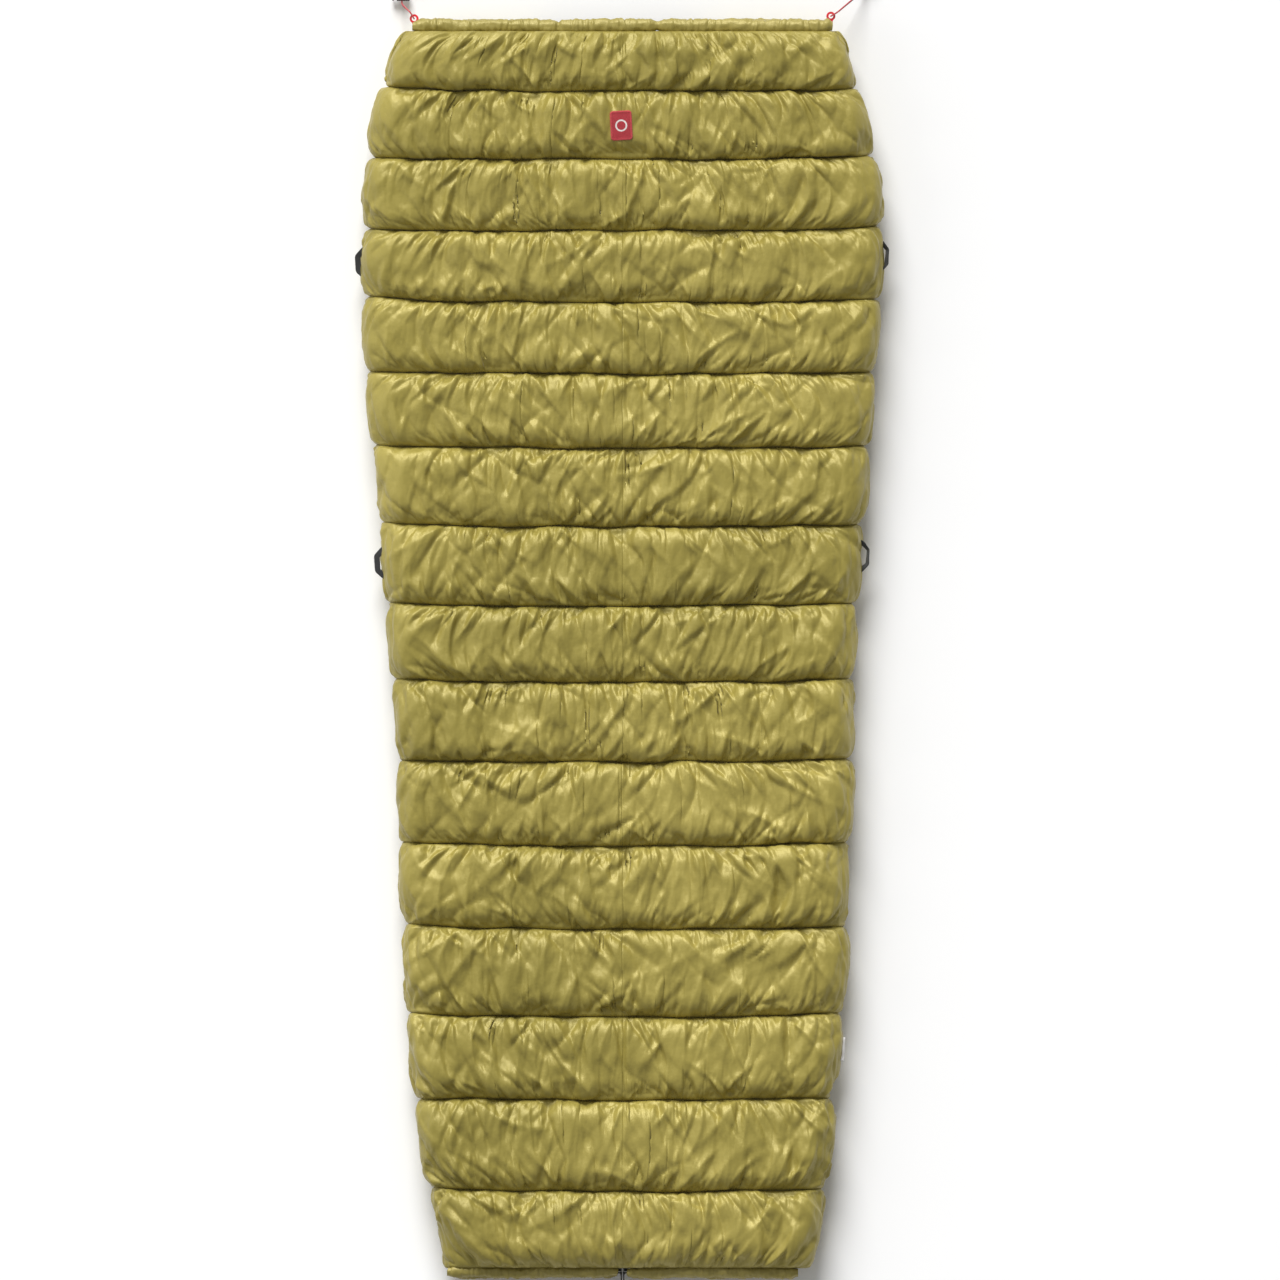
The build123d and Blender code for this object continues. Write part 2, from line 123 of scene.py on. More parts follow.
# ------------------------------------------------------------------ mesh helpers
# A shape is (vertices, faces); faces is a list of (n, corners) index arrays.
def add_mesh(name, shape, materials, index=None, flat=None):
    """Mesh object from a shape. index gives each face's material, flat the unsmoothed faces."""
    verts, faces = shape
    mesh = bpy.data.meshes.new(name)
    loops, starts, total = [], [], 0
    for block in faces:
        block = np.asarray(block, np.int32)
        loops.append(block.ravel())
        starts.append(total + np.arange(len(block)) * block.shape[1])
        total += block.size
    loops, starts = np.concatenate(loops), np.concatenate(starts)
    metres = (np.asarray(verts, np.float64) / 1000.0).astype(np.float32)
    mesh.vertices.add(len(verts))
    mesh.vertices.foreach_set("co", metres.ravel())
    mesh.loops.add(len(loops))
    mesh.loops.foreach_set("vertex_index", loops.astype(np.int32))
    mesh.polygons.add(len(starts))
    mesh.polygons.foreach_set("loop_start", starts.astype(np.int32))
    smooth_on = np.ones(len(starts), bool)
    if flat is not None:
        smooth_on[flat] = False
    mesh.polygons.foreach_set("use_smooth", smooth_on)
    for material in materials:
        mesh.materials.append(material)
    if index is not None:
        mesh.polygons.foreach_set("material_index", np.asarray(index, np.int32))
    mesh.update(calc_edges=True)
    mesh.validate()
    ob = bpy.data.objects.new(name, mesh)
    bpy.context.scene.collection.objects.link(ob)
    return ob


def add_piece(name, shape, materials, body, replaced=None, index=None):
    """Mesh object that rides one body and may stand in for a CAD piece."""
    ob = add_mesh(name, shape, materials, index)
    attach(ob, body)
    if replaced:
        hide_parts(replaced)
    return ob


def grid(rows, cols, first=0, flip=False, wrap=False):
    """Quads over a (rows, cols) grid of vertices, optionally closed along cols."""
    idx = first + np.arange(rows * cols).reshape(rows, cols)
    if wrap:
        idx = np.concatenate([idx, idx[:, :1]], 1)
    quads = np.stack([idx[:-1, :-1], idx[:-1, 1:], idx[1:, 1:], idx[1:, :-1]], -1).reshape(-1, 4)
    return quads[:, ::-1] if flip else quads


def loft(rings, sides, flip=False):
    """Faces of a closed solid over successive rings of vertices."""
    ring = np.arange(sides)[None, :]
    faces = [grid(rings, sides, wrap=True), ring[:, ::-1], ring + (rings - 1) * sides]
    return [block[:, ::-1] for block in faces] if flip else faces


def sheet(top, bottom):
    """Thin solid between two (rows, cols, 3) grids of points."""
    rows, cols = top.shape[:2]
    count = rows * cols
    up = np.arange(count).reshape(rows, cols)
    faces = [grid(rows, cols, flip=True), grid(rows, cols, count)]
    for a in (up[0], up[-1][::-1], up[:, -1], up[::-1, 0]):
        b = a + count
        faces.append(np.stack([a[:-1], a[1:], b[1:], b[:-1]], -1))
    return np.concatenate([top.reshape(-1, 3), bottom.reshape(-1, 3)]), faces


def unit(vectors):
    return vectors / np.linalg.norm(vectors, axis=1, keepdims=True)


def lengths(path):
    """Distance along a path at each of its points."""
    return np.concatenate([[0], np.cumsum(np.linalg.norm(np.diff(path, axis=0), axis=1))])


def tube(path, radius, sides=10, pattern=None):
    """Tube along a path. pattern(distance, angle) scales its radius."""
    path = np.asarray(path, float)
    n = len(path)
    tangent = np.gradient(path, axis=0)
    tangent /= np.linalg.norm(tangent, axis=1, keepdims=True) + 1e-12
    ref = np.array([0.0, 0.0, 1.0] if abs(tangent[0][2]) < 0.9 else [1.0, 0.0, 0.0])
    normal = np.zeros_like(path)
    carried = np.cross(tangent[0], ref)
    carried /= np.linalg.norm(carried)
    for i in range(n):
        carried = carried - tangent[i] * (carried @ tangent[i])
        carried /= np.linalg.norm(carried) + 1e-12
        normal[i] = carried
    binormal = np.cross(tangent, normal)
    angle = np.arange(sides) * 2 * np.pi / sides
    r = np.full((n, sides), float(radius))
    if pattern is not None:
        r = r * pattern(lengths(path)[:, None], angle[None, :])
    verts = (path[:, None] + normal[:, None] * (np.cos(angle)[None, :, None] * r[..., None])
             + binormal[:, None] * (np.sin(angle)[None, :, None] * r[..., None]))
    return verts.reshape(-1, 3), loft(n, sides, flip=True)


def ribbon(path, across, width, thick, count):
    """Flat band along a path; across is the width direction at each point."""
    tangent = unit(np.gradient(path, axis=0))
    across = unit(across - tangent * (across * tangent).sum(1, keepdims=True))
    up = np.cross(tangent, across)
    q = np.linspace(-0.5, 0.5, count)
    outline = [(sign * thick / 2 * (1 - 0.35 * (2 * u) ** 4), u * width)
               for sign, us in ((1, q), (-1, q[::-1])) for u in us]
    verts = np.stack([path + across * a + up * b for b, a in outline], 1)
    return verts.reshape(-1, 3), loft(len(path), len(outline))


def merge(shapes):
    """Joins several shapes into one."""
    verts, faces, first = [], [], 0
    for part_verts, part_faces in shapes:
        verts.append(part_verts)
        faces += [block + first for block in part_faces]
        first += len(part_verts)
    return np.concatenate(verts), faces


def rounded(points, radii, step=0.8):
    """Centre line of straight runs with each corner turned on its own radius."""
    p = [np.array(q, float) for q in points]
    out, at = [], p[0]

    def run(a, b):
        n = max(2, int(np.linalg.norm(b - a) / step) + 1)
        for k in range(n):
            out.append(a + (b - a) * k / n)

    for i in range(1, len(p) - 1):
        before, after = p[i] - p[i - 1], p[i + 1] - p[i]
        before, after = before / np.linalg.norm(before), after / np.linalg.norm(after)
        turn = math.acos(max(-1, min(1, before @ after)))
        r = radii[i - 1]
        setback = r * math.tan(turn / 2)
        start = p[i] - before * setback
        run(at, start)
        inward = after - before * (before @ after)
        inward /= np.linalg.norm(inward)
        n = max(4, int(r * turn / step))
        for k in range(n):
            a = turn * k / n
            out.append(start + inward * r * (1 - math.cos(a)) + before * r * math.sin(a))
        at = p[i] + after * setback
    run(at, p[-1])
    out.append(p[-1])
    return np.array(out)


def braid(distance, angle):
    """Interlaced strands of a round braid, as a swelling of its radius."""
    a = np.cos(4 * angle + distance * 2.1)
    b = np.cos(4 * angle - distance * 2.1)
    return 1.0 + 0.045 * np.maximum(a, b)


# ------------------------------------------------------------------ shader node helpers
def new_material(name):
    material = bpy.data.materials.new(name)
    material.use_nodes = True
    tree = material.node_tree
    return material, tree, tree.nodes["Principled BSDF"]


def set_inputs(node, values):
    for name, value in values.items():
        node.inputs[name].default_value = value


def coordinates(tree, scale=(1, 1, 1), turn=0.0):
    """Object coordinates, scaled and turned about Z."""
    source = tree.nodes.new("ShaderNodeTexCoord")
    mapping = tree.nodes.new("ShaderNodeMapping")
    set_inputs(mapping, {"Scale": scale, "Rotation": (0, 0, turn)})
    tree.links.new(source.outputs["Object"], mapping.inputs["Vector"])
    return mapping.outputs["Vector"]


def noise(tree, vector, scale, detail, roughness=0.6):
    node = tree.nodes.new("ShaderNodeTexNoise")
    set_inputs(node, {"Scale": scale, "Detail": detail, "Roughness": roughness})
    tree.links.new(vector, node.inputs["Vector"])
    return node.outputs["Fac"]


def wave(tree, vector, scale, axis, distortion):
    node = tree.nodes.new("ShaderNodeTexWave")
    node.bands_direction = axis
    set_inputs(node, {"Scale": scale, "Distortion": distortion})
    tree.links.new(vector, node.inputs["Vector"])
    return node.outputs["Fac"]


def math_node(tree, operation, a, b):
    node = tree.nodes.new("ShaderNodeMath")
    node.operation = operation
    for k, value in enumerate((a, b)):
        if isinstance(value, float):
            node.inputs[k].default_value = value
        else:
            tree.links.new(value, node.inputs[k])
    return node.outputs[0]


def ramp(tree, factor, stops):
    node = tree.nodes.new("ShaderNodeValToRGB")
    elements = node.color_ramp.elements
    while len(elements) < len(stops):
        elements.new(0.5)
    for k, (position, colour) in enumerate(stops):
        elements[k].position = position
        elements[k].color = (*colour, 1)
    tree.links.new(factor, node.inputs["Fac"])
    return node.outputs["Color"]


def to_range(tree, factor, low, high):
    node = tree.nodes.new("ShaderNodeMapRange")
    set_inputs(node, {"To Min": low, "To Max": high})
    tree.links.new(factor, node.inputs["Value"])
    return node.outputs["Result"]


def bump(tree, height, strength, distance, normal=None):
    node = tree.nodes.new("ShaderNodeBump")
    set_inputs(node, {"Strength": strength, "Distance": distance})
    tree.links.new(height, node.inputs["Height"])
    if normal is not None:
        tree.links.new(normal, node.inputs["Normal"])
    return node.outputs["Normal"]


# ------------------------------------------------------------------ materials
def fabric(name, dark, mid, light, roughness, thread_scale=900.0, sheen=0.25, crinkle=0.5,
           tint=None, tone_scale=2.2, metallic=0.0, crumple=0.0):
    """Woven cloth: two thread directions, blotchy tone, small scuffs in the gloss."""
    material, tree, shader = new_material(name)
    link = tree.links.new
    vector = coordinates(tree)
    tone = noise(tree, vector, tone_scale, detail=5.0)
    colour = ramp(tree, tone, [(0.30, dark), (0.5, mid), (0.70, light)])
    link(colour, shader.inputs["Base Color"])
    warp_threads = wave(tree, vector, thread_scale, "X", distortion=0.4)
    weft_threads = wave(tree, vector, thread_scale, "Y", distortion=0.4)
    threads = math_node(tree, "ADD", warp_threads, weft_threads)
    crinkles = noise(tree, vector, scale=160.0, detail=6.0, roughness=0.65)
    normal = bump(tree, crinkles, crinkle, distance=0.0009)
    if crumple:
        # short pressed-in creases, longer from head to foot than across
        for scale, stretch, turn, distance in ((46.0, 0.30, 0.35, 0.0034),
                                               (90.0, 0.35, -0.4, 0.0016)):
            stretched = coordinates(tree, (1, stretch, 1), turn)
            ridge = noise(tree, stretched, scale, detail=1.5, roughness=0.5)
            ridge = math_node(tree, "SUBTRACT", ridge, 0.5)
            ridge = math_node(tree, "ABSOLUTE", ridge, 0.0)
            normal = bump(tree, ridge, crumple, distance, normal)
    normal = bump(tree, threads, strength=0.25, distance=0.00012, normal=normal)
    link(normal, shader.inputs["Normal"])
    scuff = noise(tree, vector, scale=35.0, detail=4.0)
    link(to_range(tree, scuff, *roughness), shader.inputs["Roughness"])
    set_inputs(shader, {"Sheen Weight": sheen, "Sheen Roughness": 0.35, "Metallic": metallic,
                        "Specular IOR Level": 0.45})
    if tint:
        shader.inputs["Sheen Tint"].default_value = (*tint, 1)
    return material


def hard(name, colour, roughness, metallic=0.0, grain_scale=2200.0, grain=0.15, variation=0.25):
    """Moulded or cast surface: fine grain, slight tone change, worn gloss."""
    material, tree, shader = new_material(name)
    link = tree.links.new
    vector = coordinates(tree)
    tone = noise(tree, vector, scale=60.0, detail=4.0)
    low = tuple(c * (1 - variation) for c in colour)
    high = tuple(min(1, c * (1 + variation)) for c in colour)
    link(ramp(tree, tone, [(0.3, low), (0.7, high)]), shader.inputs["Base Color"])
    grains = noise(tree, vector, grain_scale, detail=3.0)
    link(bump(tree, grains, grain, distance=0.0001), shader.inputs["Normal"])
    wear = noise(tree, vector, scale=90.0, detail=5.0)
    link(to_range(tree, wear, *roughness), shader.inputs["Roughness"])
    shader.inputs["Metallic"].default_value = metallic
    return material


def webbing(name, colour, scale):
    """Coarse webbing or braid, its threads crossing on the diagonal."""
    material, tree, shader = new_material(name)
    link = tree.links.new
    vector = coordinates(tree, turn=0.785)
    a = wave(tree, vector, scale, "X", distortion=1.0)
    b = wave(tree, vector, scale, "Y", distortion=1.0)
    threads = math_node(tree, "MULTIPLY", a, b)
    low = tuple(c * 0.55 for c in colour)
    high = tuple(min(1, c * 1.35) for c in colour)
    link(ramp(tree, threads, [(0.1, low), (0.7, high)]), shader.inputs["Base Color"])
    link(bump(tree, threads, strength=0.6, distance=0.0003), shader.inputs["Normal"])
    wear = noise(tree, vector, scale=120.0, detail=4.0)
    link(to_range(tree, wear, low=0.6, high=0.85), shader.inputs["Roughness"])
    shader.inputs["Sheen Weight"].default_value = 0.3
    return material


def add_pale_ring(material):
    """Pale ring about 8 mm in radius round the patch centre, over the material's own colour."""
    tree = material.node_tree
    link = tree.links.new
    base = tree.nodes["Principled BSDF"].inputs["Base Color"]
    source = tree.nodes.new("ShaderNodeTexCoord")
    offset = tree.nodes.new("ShaderNodeVectorMath")  # millimetres from the patch centre
    offset.operation = "MULTIPLY_ADD"
    link(source.outputs["Object"], offset.inputs[0])
    offset.inputs[1].default_value = (1000, 1000, 0)
    offset.inputs[2].default_value = (-PATCH_X, -PATCH_Y, 0)
    radius = tree.nodes.new("ShaderNodeVectorMath")
    radius.operation = "LENGTH"
    link(offset.outputs[0], radius.inputs[0])
    black, white = (0, 0, 0), (1, 1, 1)
    # stops are in units of 20 mm
    in_ring = ramp(tree, math_node(tree, "MULTIPLY", radius.outputs["Value"], 0.05),
                   [(0.0, black), (0.33, black), (0.36, white), (0.45, white), (0.48, black)])
    mix = tree.nodes.new("ShaderNodeMix")
    mix.data_type = "RGBA"
    link(in_ring, mix.inputs[0])
    link(base.links[0].from_socket, mix.inputs[6])
    mix.inputs[7].default_value = (0.75, 0.70, 0.66, 1)
    link(mix.outputs[2], base)


SHELL = fabric("shell_nylon", (0.280, 0.232, 0.046), (0.330, 0.272, 0.057), (0.385, 0.318, 0.073),
               roughness=(0.37, 0.47), sheen=0.10, tint=(0.95, 0.9, 0.78), metallic=0.16,
               crumple=0.7)
# The hem cloth is a little greyer and bluer than the shell: painted sheen, standing in for the pale
# glancing reflection on the curled hems.
HEM = fabric("shell_nylon_hem", (0.28, 0.232, 0.054), (0.33, 0.272, 0.068), (0.38, 0.318, 0.092),
             roughness=(0.35, 0.48), sheen=0.2, crinkle=0.6, tint=(0.95, 0.92, 0.85),
             metallic=0.15, crumple=0.4)
LINING = fabric("lining_nylon", (0.020, 0.021, 0.024), (0.028, 0.030, 0.034),
                (0.040, 0.042, 0.047), roughness=(0.30, 0.46), crinkle=0.4)
THREAD = webbing("thread", (0.20, 0.165, 0.045), scale=2500.0)
RED_CORD = webbing("red_cord", (0.62, 0.035, 0.05), scale=1400.0)
DARK_CORD = webbing("elastic_cord", (0.030, 0.030, 0.034), scale=1400.0)
WEB_BLACK = webbing("black_webbing", (0.024, 0.026, 0.028), scale=900.0)
ZIP_TAPE = webbing("zip_tape", (0.045, 0.044, 0.040), scale=1100.0)
PATCH = webbing("patch_weave", (0.52, 0.022, 0.035), scale=1200.0)
add_pale_ring(PATCH)
PATCH_EDGE = webbing("patch_edge", (0.62, 0.05, 0.06), scale=1800.0)
LABEL = fabric("label_satin", (0.70, 0.69, 0.68), (0.80, 0.79, 0.78), (0.88, 0.87, 0.86),
               roughness=(0.35, 0.5), thread_scale=1500.0, sheen=0.3, crinkle=0.2,
               tone_scale=12.0)
RED_PLASTIC = hard("red_plastic", (0.68, 0.022, 0.035), roughness=(0.28, 0.42))
LOCK = hard("lock_plastic", (0.018, 0.018, 0.020), roughness=(0.32, 0.5))
BUTTON = hard("button_plastic", (0.026, 0.026, 0.029), roughness=(0.35, 0.55))
COIL = hard("zip_coil", (0.035, 0.035, 0.035), roughness=(0.3, 0.45))
STEEL = hard("spring_steel", (0.60, 0.60, 0.62), roughness=(0.22, 0.4), metallic=1.0,
             grain_scale=4000.0, grain=0.1, variation=0.1)
ZIP_METAL = hard("zip_metal", (0.030, 0.030, 0.033), roughness=(0.3, 0.5), metallic=0.4)


# ------------------------------------------------------------------ padded chambers: laid shape
def section(half_width, fold_half, half_height, inner):
    """Girth of one half: top centre, round the fold, under to the hem. (x, z) and arc length."""
    turn_x = half_width - fold_half
    top = np.stack([np.linspace(0, turn_x, 60), np.full(60, MID + half_height)], 1)
    a = np.linspace(np.pi / 2, -np.pi / 2, 120)
    fold = np.stack([turn_x + fold_half * np.cos(a), MID + half_height * np.sin(a)], 1)
    r = min(16.0, half_height * 0.55)
    under = np.stack([np.linspace(turn_x, inner + r, 60), np.full(60, MID - half_height)], 1)
    a = np.linspace(-np.pi / 2, -np.pi, 20)
    corner = np.stack([inner + r + r * np.cos(a), MID - half_height + r + r * np.sin(a)], 1)
    end = np.stack([np.linspace(inner, inner + 2.0, 10),
                    np.linspace(MID - half_height + r, MID - 3.0, 10)], 1)
    points = np.concatenate([top, fold[1:], under[1:], corner[1:], end[1:]])
    return points, np.concatenate([[0], np.cumsum(np.hypot(*np.diff(points, axis=0).T))])


rng = np.random.default_rng(11)

# sideways drift of the cloth along each seam, per side, over the share of the half girth
GIRTH_T = np.linspace(0, 1, 801)


def seam_shift():
    drift = np.zeros(len(GIRTH_T))
    for waves in (4, 7, 11, 17, 31, 46):
        phase = rng.uniform(0, 2 * np.pi)
        ripple = np.sin(2 * np.pi * waves * GIRTH_T + phase) - np.sin(phase)
        drift += rng.normal(0, 1) * ripple / waves
    return drift * 0.012 * smooth(GIRTH_T / 0.04) * smooth((1 - GIRTH_T) / 0.04)


SHIFT = [[seam_shift() for _ in SIDES] for _ in SEAM_Y]

# each inner seam wanders a little and rises towards the head at both sides
SEAM_X = np.linspace(-430, 430, 431)
SEAM_DY = []
for j in range(CHAMBERS + 1):
    half_width = np.mean([SEAM_W[0][j], SEAM_W[1][j]])
    rise_left, rise_right = rng.uniform(2.5, 8.0, 2)
    dy = (np.where(SEAM_X < 0, rise_left, rise_right) * (np.abs(SEAM_X) / half_width) ** 4
          + 0.9 * random_curve(rng, len(SEAM_X), 2.0, 70.0))
    SEAM_DY.append(dy * (0.0 if j in (0, CHAMBERS) else 1.0))


def laid_shape(i):
    """Plump laid-out shape of chamber i, and the place of each point from seam to seam (0 to 1).

    Points are (2 * NH - 1, NV, 3): the first index runs round the girth from the left flap's hem,
    with NH - 1 on the centre line, and the second runs from the head seam.
    """
    depth = SEAM_Y[i] - SEAM_Y[i + 1]
    v = np.linspace(0, 1, NV)
    # closer together at the seams
    v = 0.5 - 0.5 * np.cos(np.pi * (0.25 * (0.5 - 0.5 * np.cos(np.pi * v)) + 0.75 * v))
    swell = (1 - np.abs(2 * v - 1) ** 2.3) ** 0.55
    h_head = H_END if i == 0 else H_SEAM
    h_foot = H_END if i == CHAMBERS - 1 else H_SEAM
    laid = np.zeros((2 * NH - 1, NV, 3))
    even = np.linspace(0, 1, NH)
    for side in (0, 1):
        seam_w, crown_w = SEAM_W[side], CROWN_W[side]
        for k in range(NV):
            at = v[k]
            base = seam_w[i] * (1 - at) + seam_w[i + 1] * at
            half_width = base + (crown_w[i] - (seam_w[i] + seam_w[i + 1]) / 2) * swell[k]
            seam_height = h_head * (1 - at) + h_foot * at
            half_height = seam_height + (H_CROWN - seam_height) * swell[k]
            y = SEAM_Y[i] - depth * at
            outline, arc = section(half_width, 24.0 + 22.0 * swell[k], half_height, inner_x(y))
            drift = (np.interp(even, GIRTH_T, SHIFT[i][side]) * (1 - at)
                     + np.interp(even, GIRTH_T, SHIFT[i + 1][side]) * at)
            t = even + drift * (1 - swell[k])
            x = np.interp(t * arc[-1], arc, outline[:, 0])
            z = np.interp(t * arc[-1], arc, outline[:, 1])
            if side == 0:
                laid[:NH, k] = np.stack([-x, np.full(NH, y), z], 1)[::-1]
            else:
                laid[NH - 1:, k] = np.stack([x, np.full(NH, y), z], 1)
    return laid, v


# ------------------------------------------------------------------ padded chambers: cloth
CLOTH_STEPS = 90
GATHER = 0.03  # extra length round the girth
SEAM_GATHER = 0.05  # more of it, next to the seams
SLACK = 0.01  # extra length from seam to seam
UNEVEN = 0.02  # random spread of both
PRESSURE = 0.008  # outward speed added each step
BENDING = 0.02  # share of the curvature taken out each step
SHEAR = 0.12  # stiffness of the diagonals
DAMPING = 0.96  # share of the speed kept each step


def normals(points):
    du, dv = np.gradient(points, axis=0), np.gradient(points, axis=1)
    n = np.cross(dv, du)
    return n / (np.linalg.norm(n, axis=-1, keepdims=True) + 1e-9)


def alternate_pairs(n):
    """Neighbouring pairs of n points in two sets that share no point."""
    out = []
    for first in (0, 1):
        count = (n - first) // 2
        out.append((slice(first, first + 2 * count - 1, 2),
                    slice(first + 1, first + 2 * count, 2)))
    return out


def cloth(laid, seed):
    """Inflated cloth: position-based stretch, shear and bending, with all four edges held."""
    rng = np.random.default_rng(seed)
    nu, nv = laid.shape[:2]
    rest = laid.astype(np.float32)
    pos = [rest[..., c].copy() for c in range(3)]
    across = np.linspace(-1, 1, nv)[None, :]

    def field(size_u, size_v, amount):
        """Blurred random field."""
        f = rng.standard_normal((nu, nv)).astype(np.float32)
        blur = np.exp(-2 * np.pi ** 2 * ((np.fft.fftfreq(nu) * size_u)[:, None] ** 2
                                         + (np.fft.rfftfreq(nv) * size_v)[None, :] ** 2))
        f = np.fft.irfft2(np.fft.rfft2(f) * blur, (nu, nv))
        return (f / f.std() * amount).astype(np.float32)

    def rest_length(a, b, factor):
        return (np.linalg.norm(rest[a] - rest[b], axis=-1) * factor).astype(np.float32)

    every, low, high = slice(None), slice(0, -1), slice(1, None)
    girth_factor = 1 + GATHER + SEAM_GATHER * np.abs(across) ** 3 + field(4, 4, UNEVEN)[1:]
    girth_rest = rest_length((high, every), (low, every), girth_factor)
    cross_rest = rest_length((every, high), (every, low), 1 + SLACK + field(4, 4, UNEVEN)[:, 1:])
    both = 1 + (GATHER + SLACK) / 2
    diagonals = (((low, high), (high, low), rest_length((high, low), (low, high), both)),
                 ((low, low), (high, high), rest_length((high, high), (low, low), both)))
    start = field(2, 8, 0.8) * np.sin(np.pi * np.linspace(0, 1, nv))[None, :]
    y_low, y_high = laid[0, -1, 1] + 0.25, laid[0, 0, 1] - 0.25
    n = normals(np.stack(pos, -1)).astype(np.float32)
    for c in range(3):
        pos[c] += n[..., c] * start
    speed = [np.zeros_like(p) for p in pos]

    def pull(a, b, length, stiffness):
        """Moves both ends of each edge towards its rest length."""
        d = [pos[c][b] - pos[c][a] for c in range(3)]
        f = (0.5 * stiffness) * (1 - length / np.sqrt(d[0] * d[0] + d[1] * d[1] + d[2] * d[2]))
        for c in range(3):
            g = d[c] * f
            pos[c][a] += g
            pos[c][b] -= g

    for step in range(CLOTH_STEPS):
        if step % 4 == 0:
            n = normals(np.stack(pos, -1)).astype(np.float32)
        old = [p.copy() for p in pos]
        for c in range(3):
            speed[c] *= DAMPING
            speed[c] += n[..., c] * PRESSURE
            pos[c] += speed[c]
        for a, b in alternate_pairs(nu):
            pull((a, every), (b, every), girth_rest[a], 1.0)
        for a, b in alternate_pairs(nv):
            pull((every, a), (every, b), cross_rest[:, a], 1.0)
        pull(*diagonals[step % 2], SHEAR)
        for p in pos:
            p[1:-1] += BENDING * (p[:-2] + p[2:] - 2 * p[1:-1])
            p[:, 1:-1] += BENDING * (p[:, :-2] + p[:, 2:] - 2 * p[:, 1:-1])
        pos[1] = np.clip(pos[1], y_low, y_high)
        pos[2] = np.clip(pos[2], 1.4, 99.0)
        for c in range(3):
            pos[c][:, 0], pos[c][:, -1] = rest[:, 0, c], rest[:, -1, c]
            pos[c][0], pos[c][-1] = rest[0, :, c], rest[-1, :, c]
            speed[c] = np.clip(pos[c] - old[c], -1.0, 1.0)
    return np.stack(pos, -1).astype(float)


# ------------------------------------------------------------------ padded chambers: folds
def creases(rng, U, V, depth, plan):
    """Folds fanning from both seams: each is steep on one side and long on the other.

    U and V are each point's place along the girth and from the head seam. A plan row is: seam
    (0 head, 1 foot), gap, height, shortest, longest, spread in radians, width at seam, at tip.
    """
    out = np.zeros_like(U)
    girth = U[:, 0].max()
    for seam, gap, height, shortest, longest, spread, width0, width1 in plan:
        at = rng.uniform(0, gap)
        lean = rng.normal(0, 0.15)
        while at < girth:
            count = rng.integers(1, 4)
            lean = np.clip(lean * 0.9 + rng.normal(0, 0.2), -0.5, 0.5)
            for q in range(count):
                angle = lean + (q - (count - 1) / 2) * spread * rng.uniform(0.6, 1.4)
                length = rng.uniform(shortest, longest)
                rise = height * rng.uniform(0.45, 1.45) * (1 if rng.random() < 0.5 else -1)
                bend = rng.normal(0, 0.25) / length
                steep = 1 if rng.random() < 0.5 else -1
                i0, i1 = np.searchsorted(U[:, 0], (at - length, at + length))
                x = U[i0:i1] - at
                y = V[i0:i1] if seam == 0 else depth - V[i0:i1]
                along = x * math.sin(angle) + y * math.cos(angle)
                off = x * math.cos(angle) - y * math.sin(angle) - bend * along * along
                t = np.clip(along / length, 0, 1)
                width = width0 + (width1 - width0) * t
                profile = np.clip(t / 0.22, 0, 1) * (1 - t) ** 0.8 * 1.3
                flank = np.where(off * steep > 0, width, width * 2.2)
                out[i0:i1] += rise * profile * np.exp(-np.abs(off) / flank)
            at += gap * rng.uniform(0.5, 1.5)
    return out


def facets(rng, shape, du, dv, wavelength, angle, length):
    """Small flat-sided folds of one wavelength, running along one direction."""
    f = rng.standard_normal(shape)
    ku, kv = np.fft.fftfreq(shape[0], du)[:, None], np.fft.rfftfreq(shape[1], dv)[None, :]
    c, s = math.cos(angle), math.sin(angle)
    ka, kb = ku * c + kv * s, -ku * s + kv * c
    band = (np.exp(-0.5 * ((np.abs(ka) - 1 / wavelength) / (0.35 / wavelength)) ** 2)
            * np.exp(-0.5 * (kb * length / 1.2) ** 2))
    g = np.fft.irfft2(np.fft.rfft2(f) * band, shape)
    return np.arcsin(np.sin(1.6 * g / g.std())) * 0.8


def side_seam_z(side, y):
    """Height of the stitched side seam: mostly at the fold, on the top in one stretch a side."""
    if side == 0:
        return MID + 24 * smooth((y - 610) / 60) * smooth((800 - y) / 60)
    return MID + 25 * smooth((y + 740) / 90) * smooth((-170 - y) / 90)


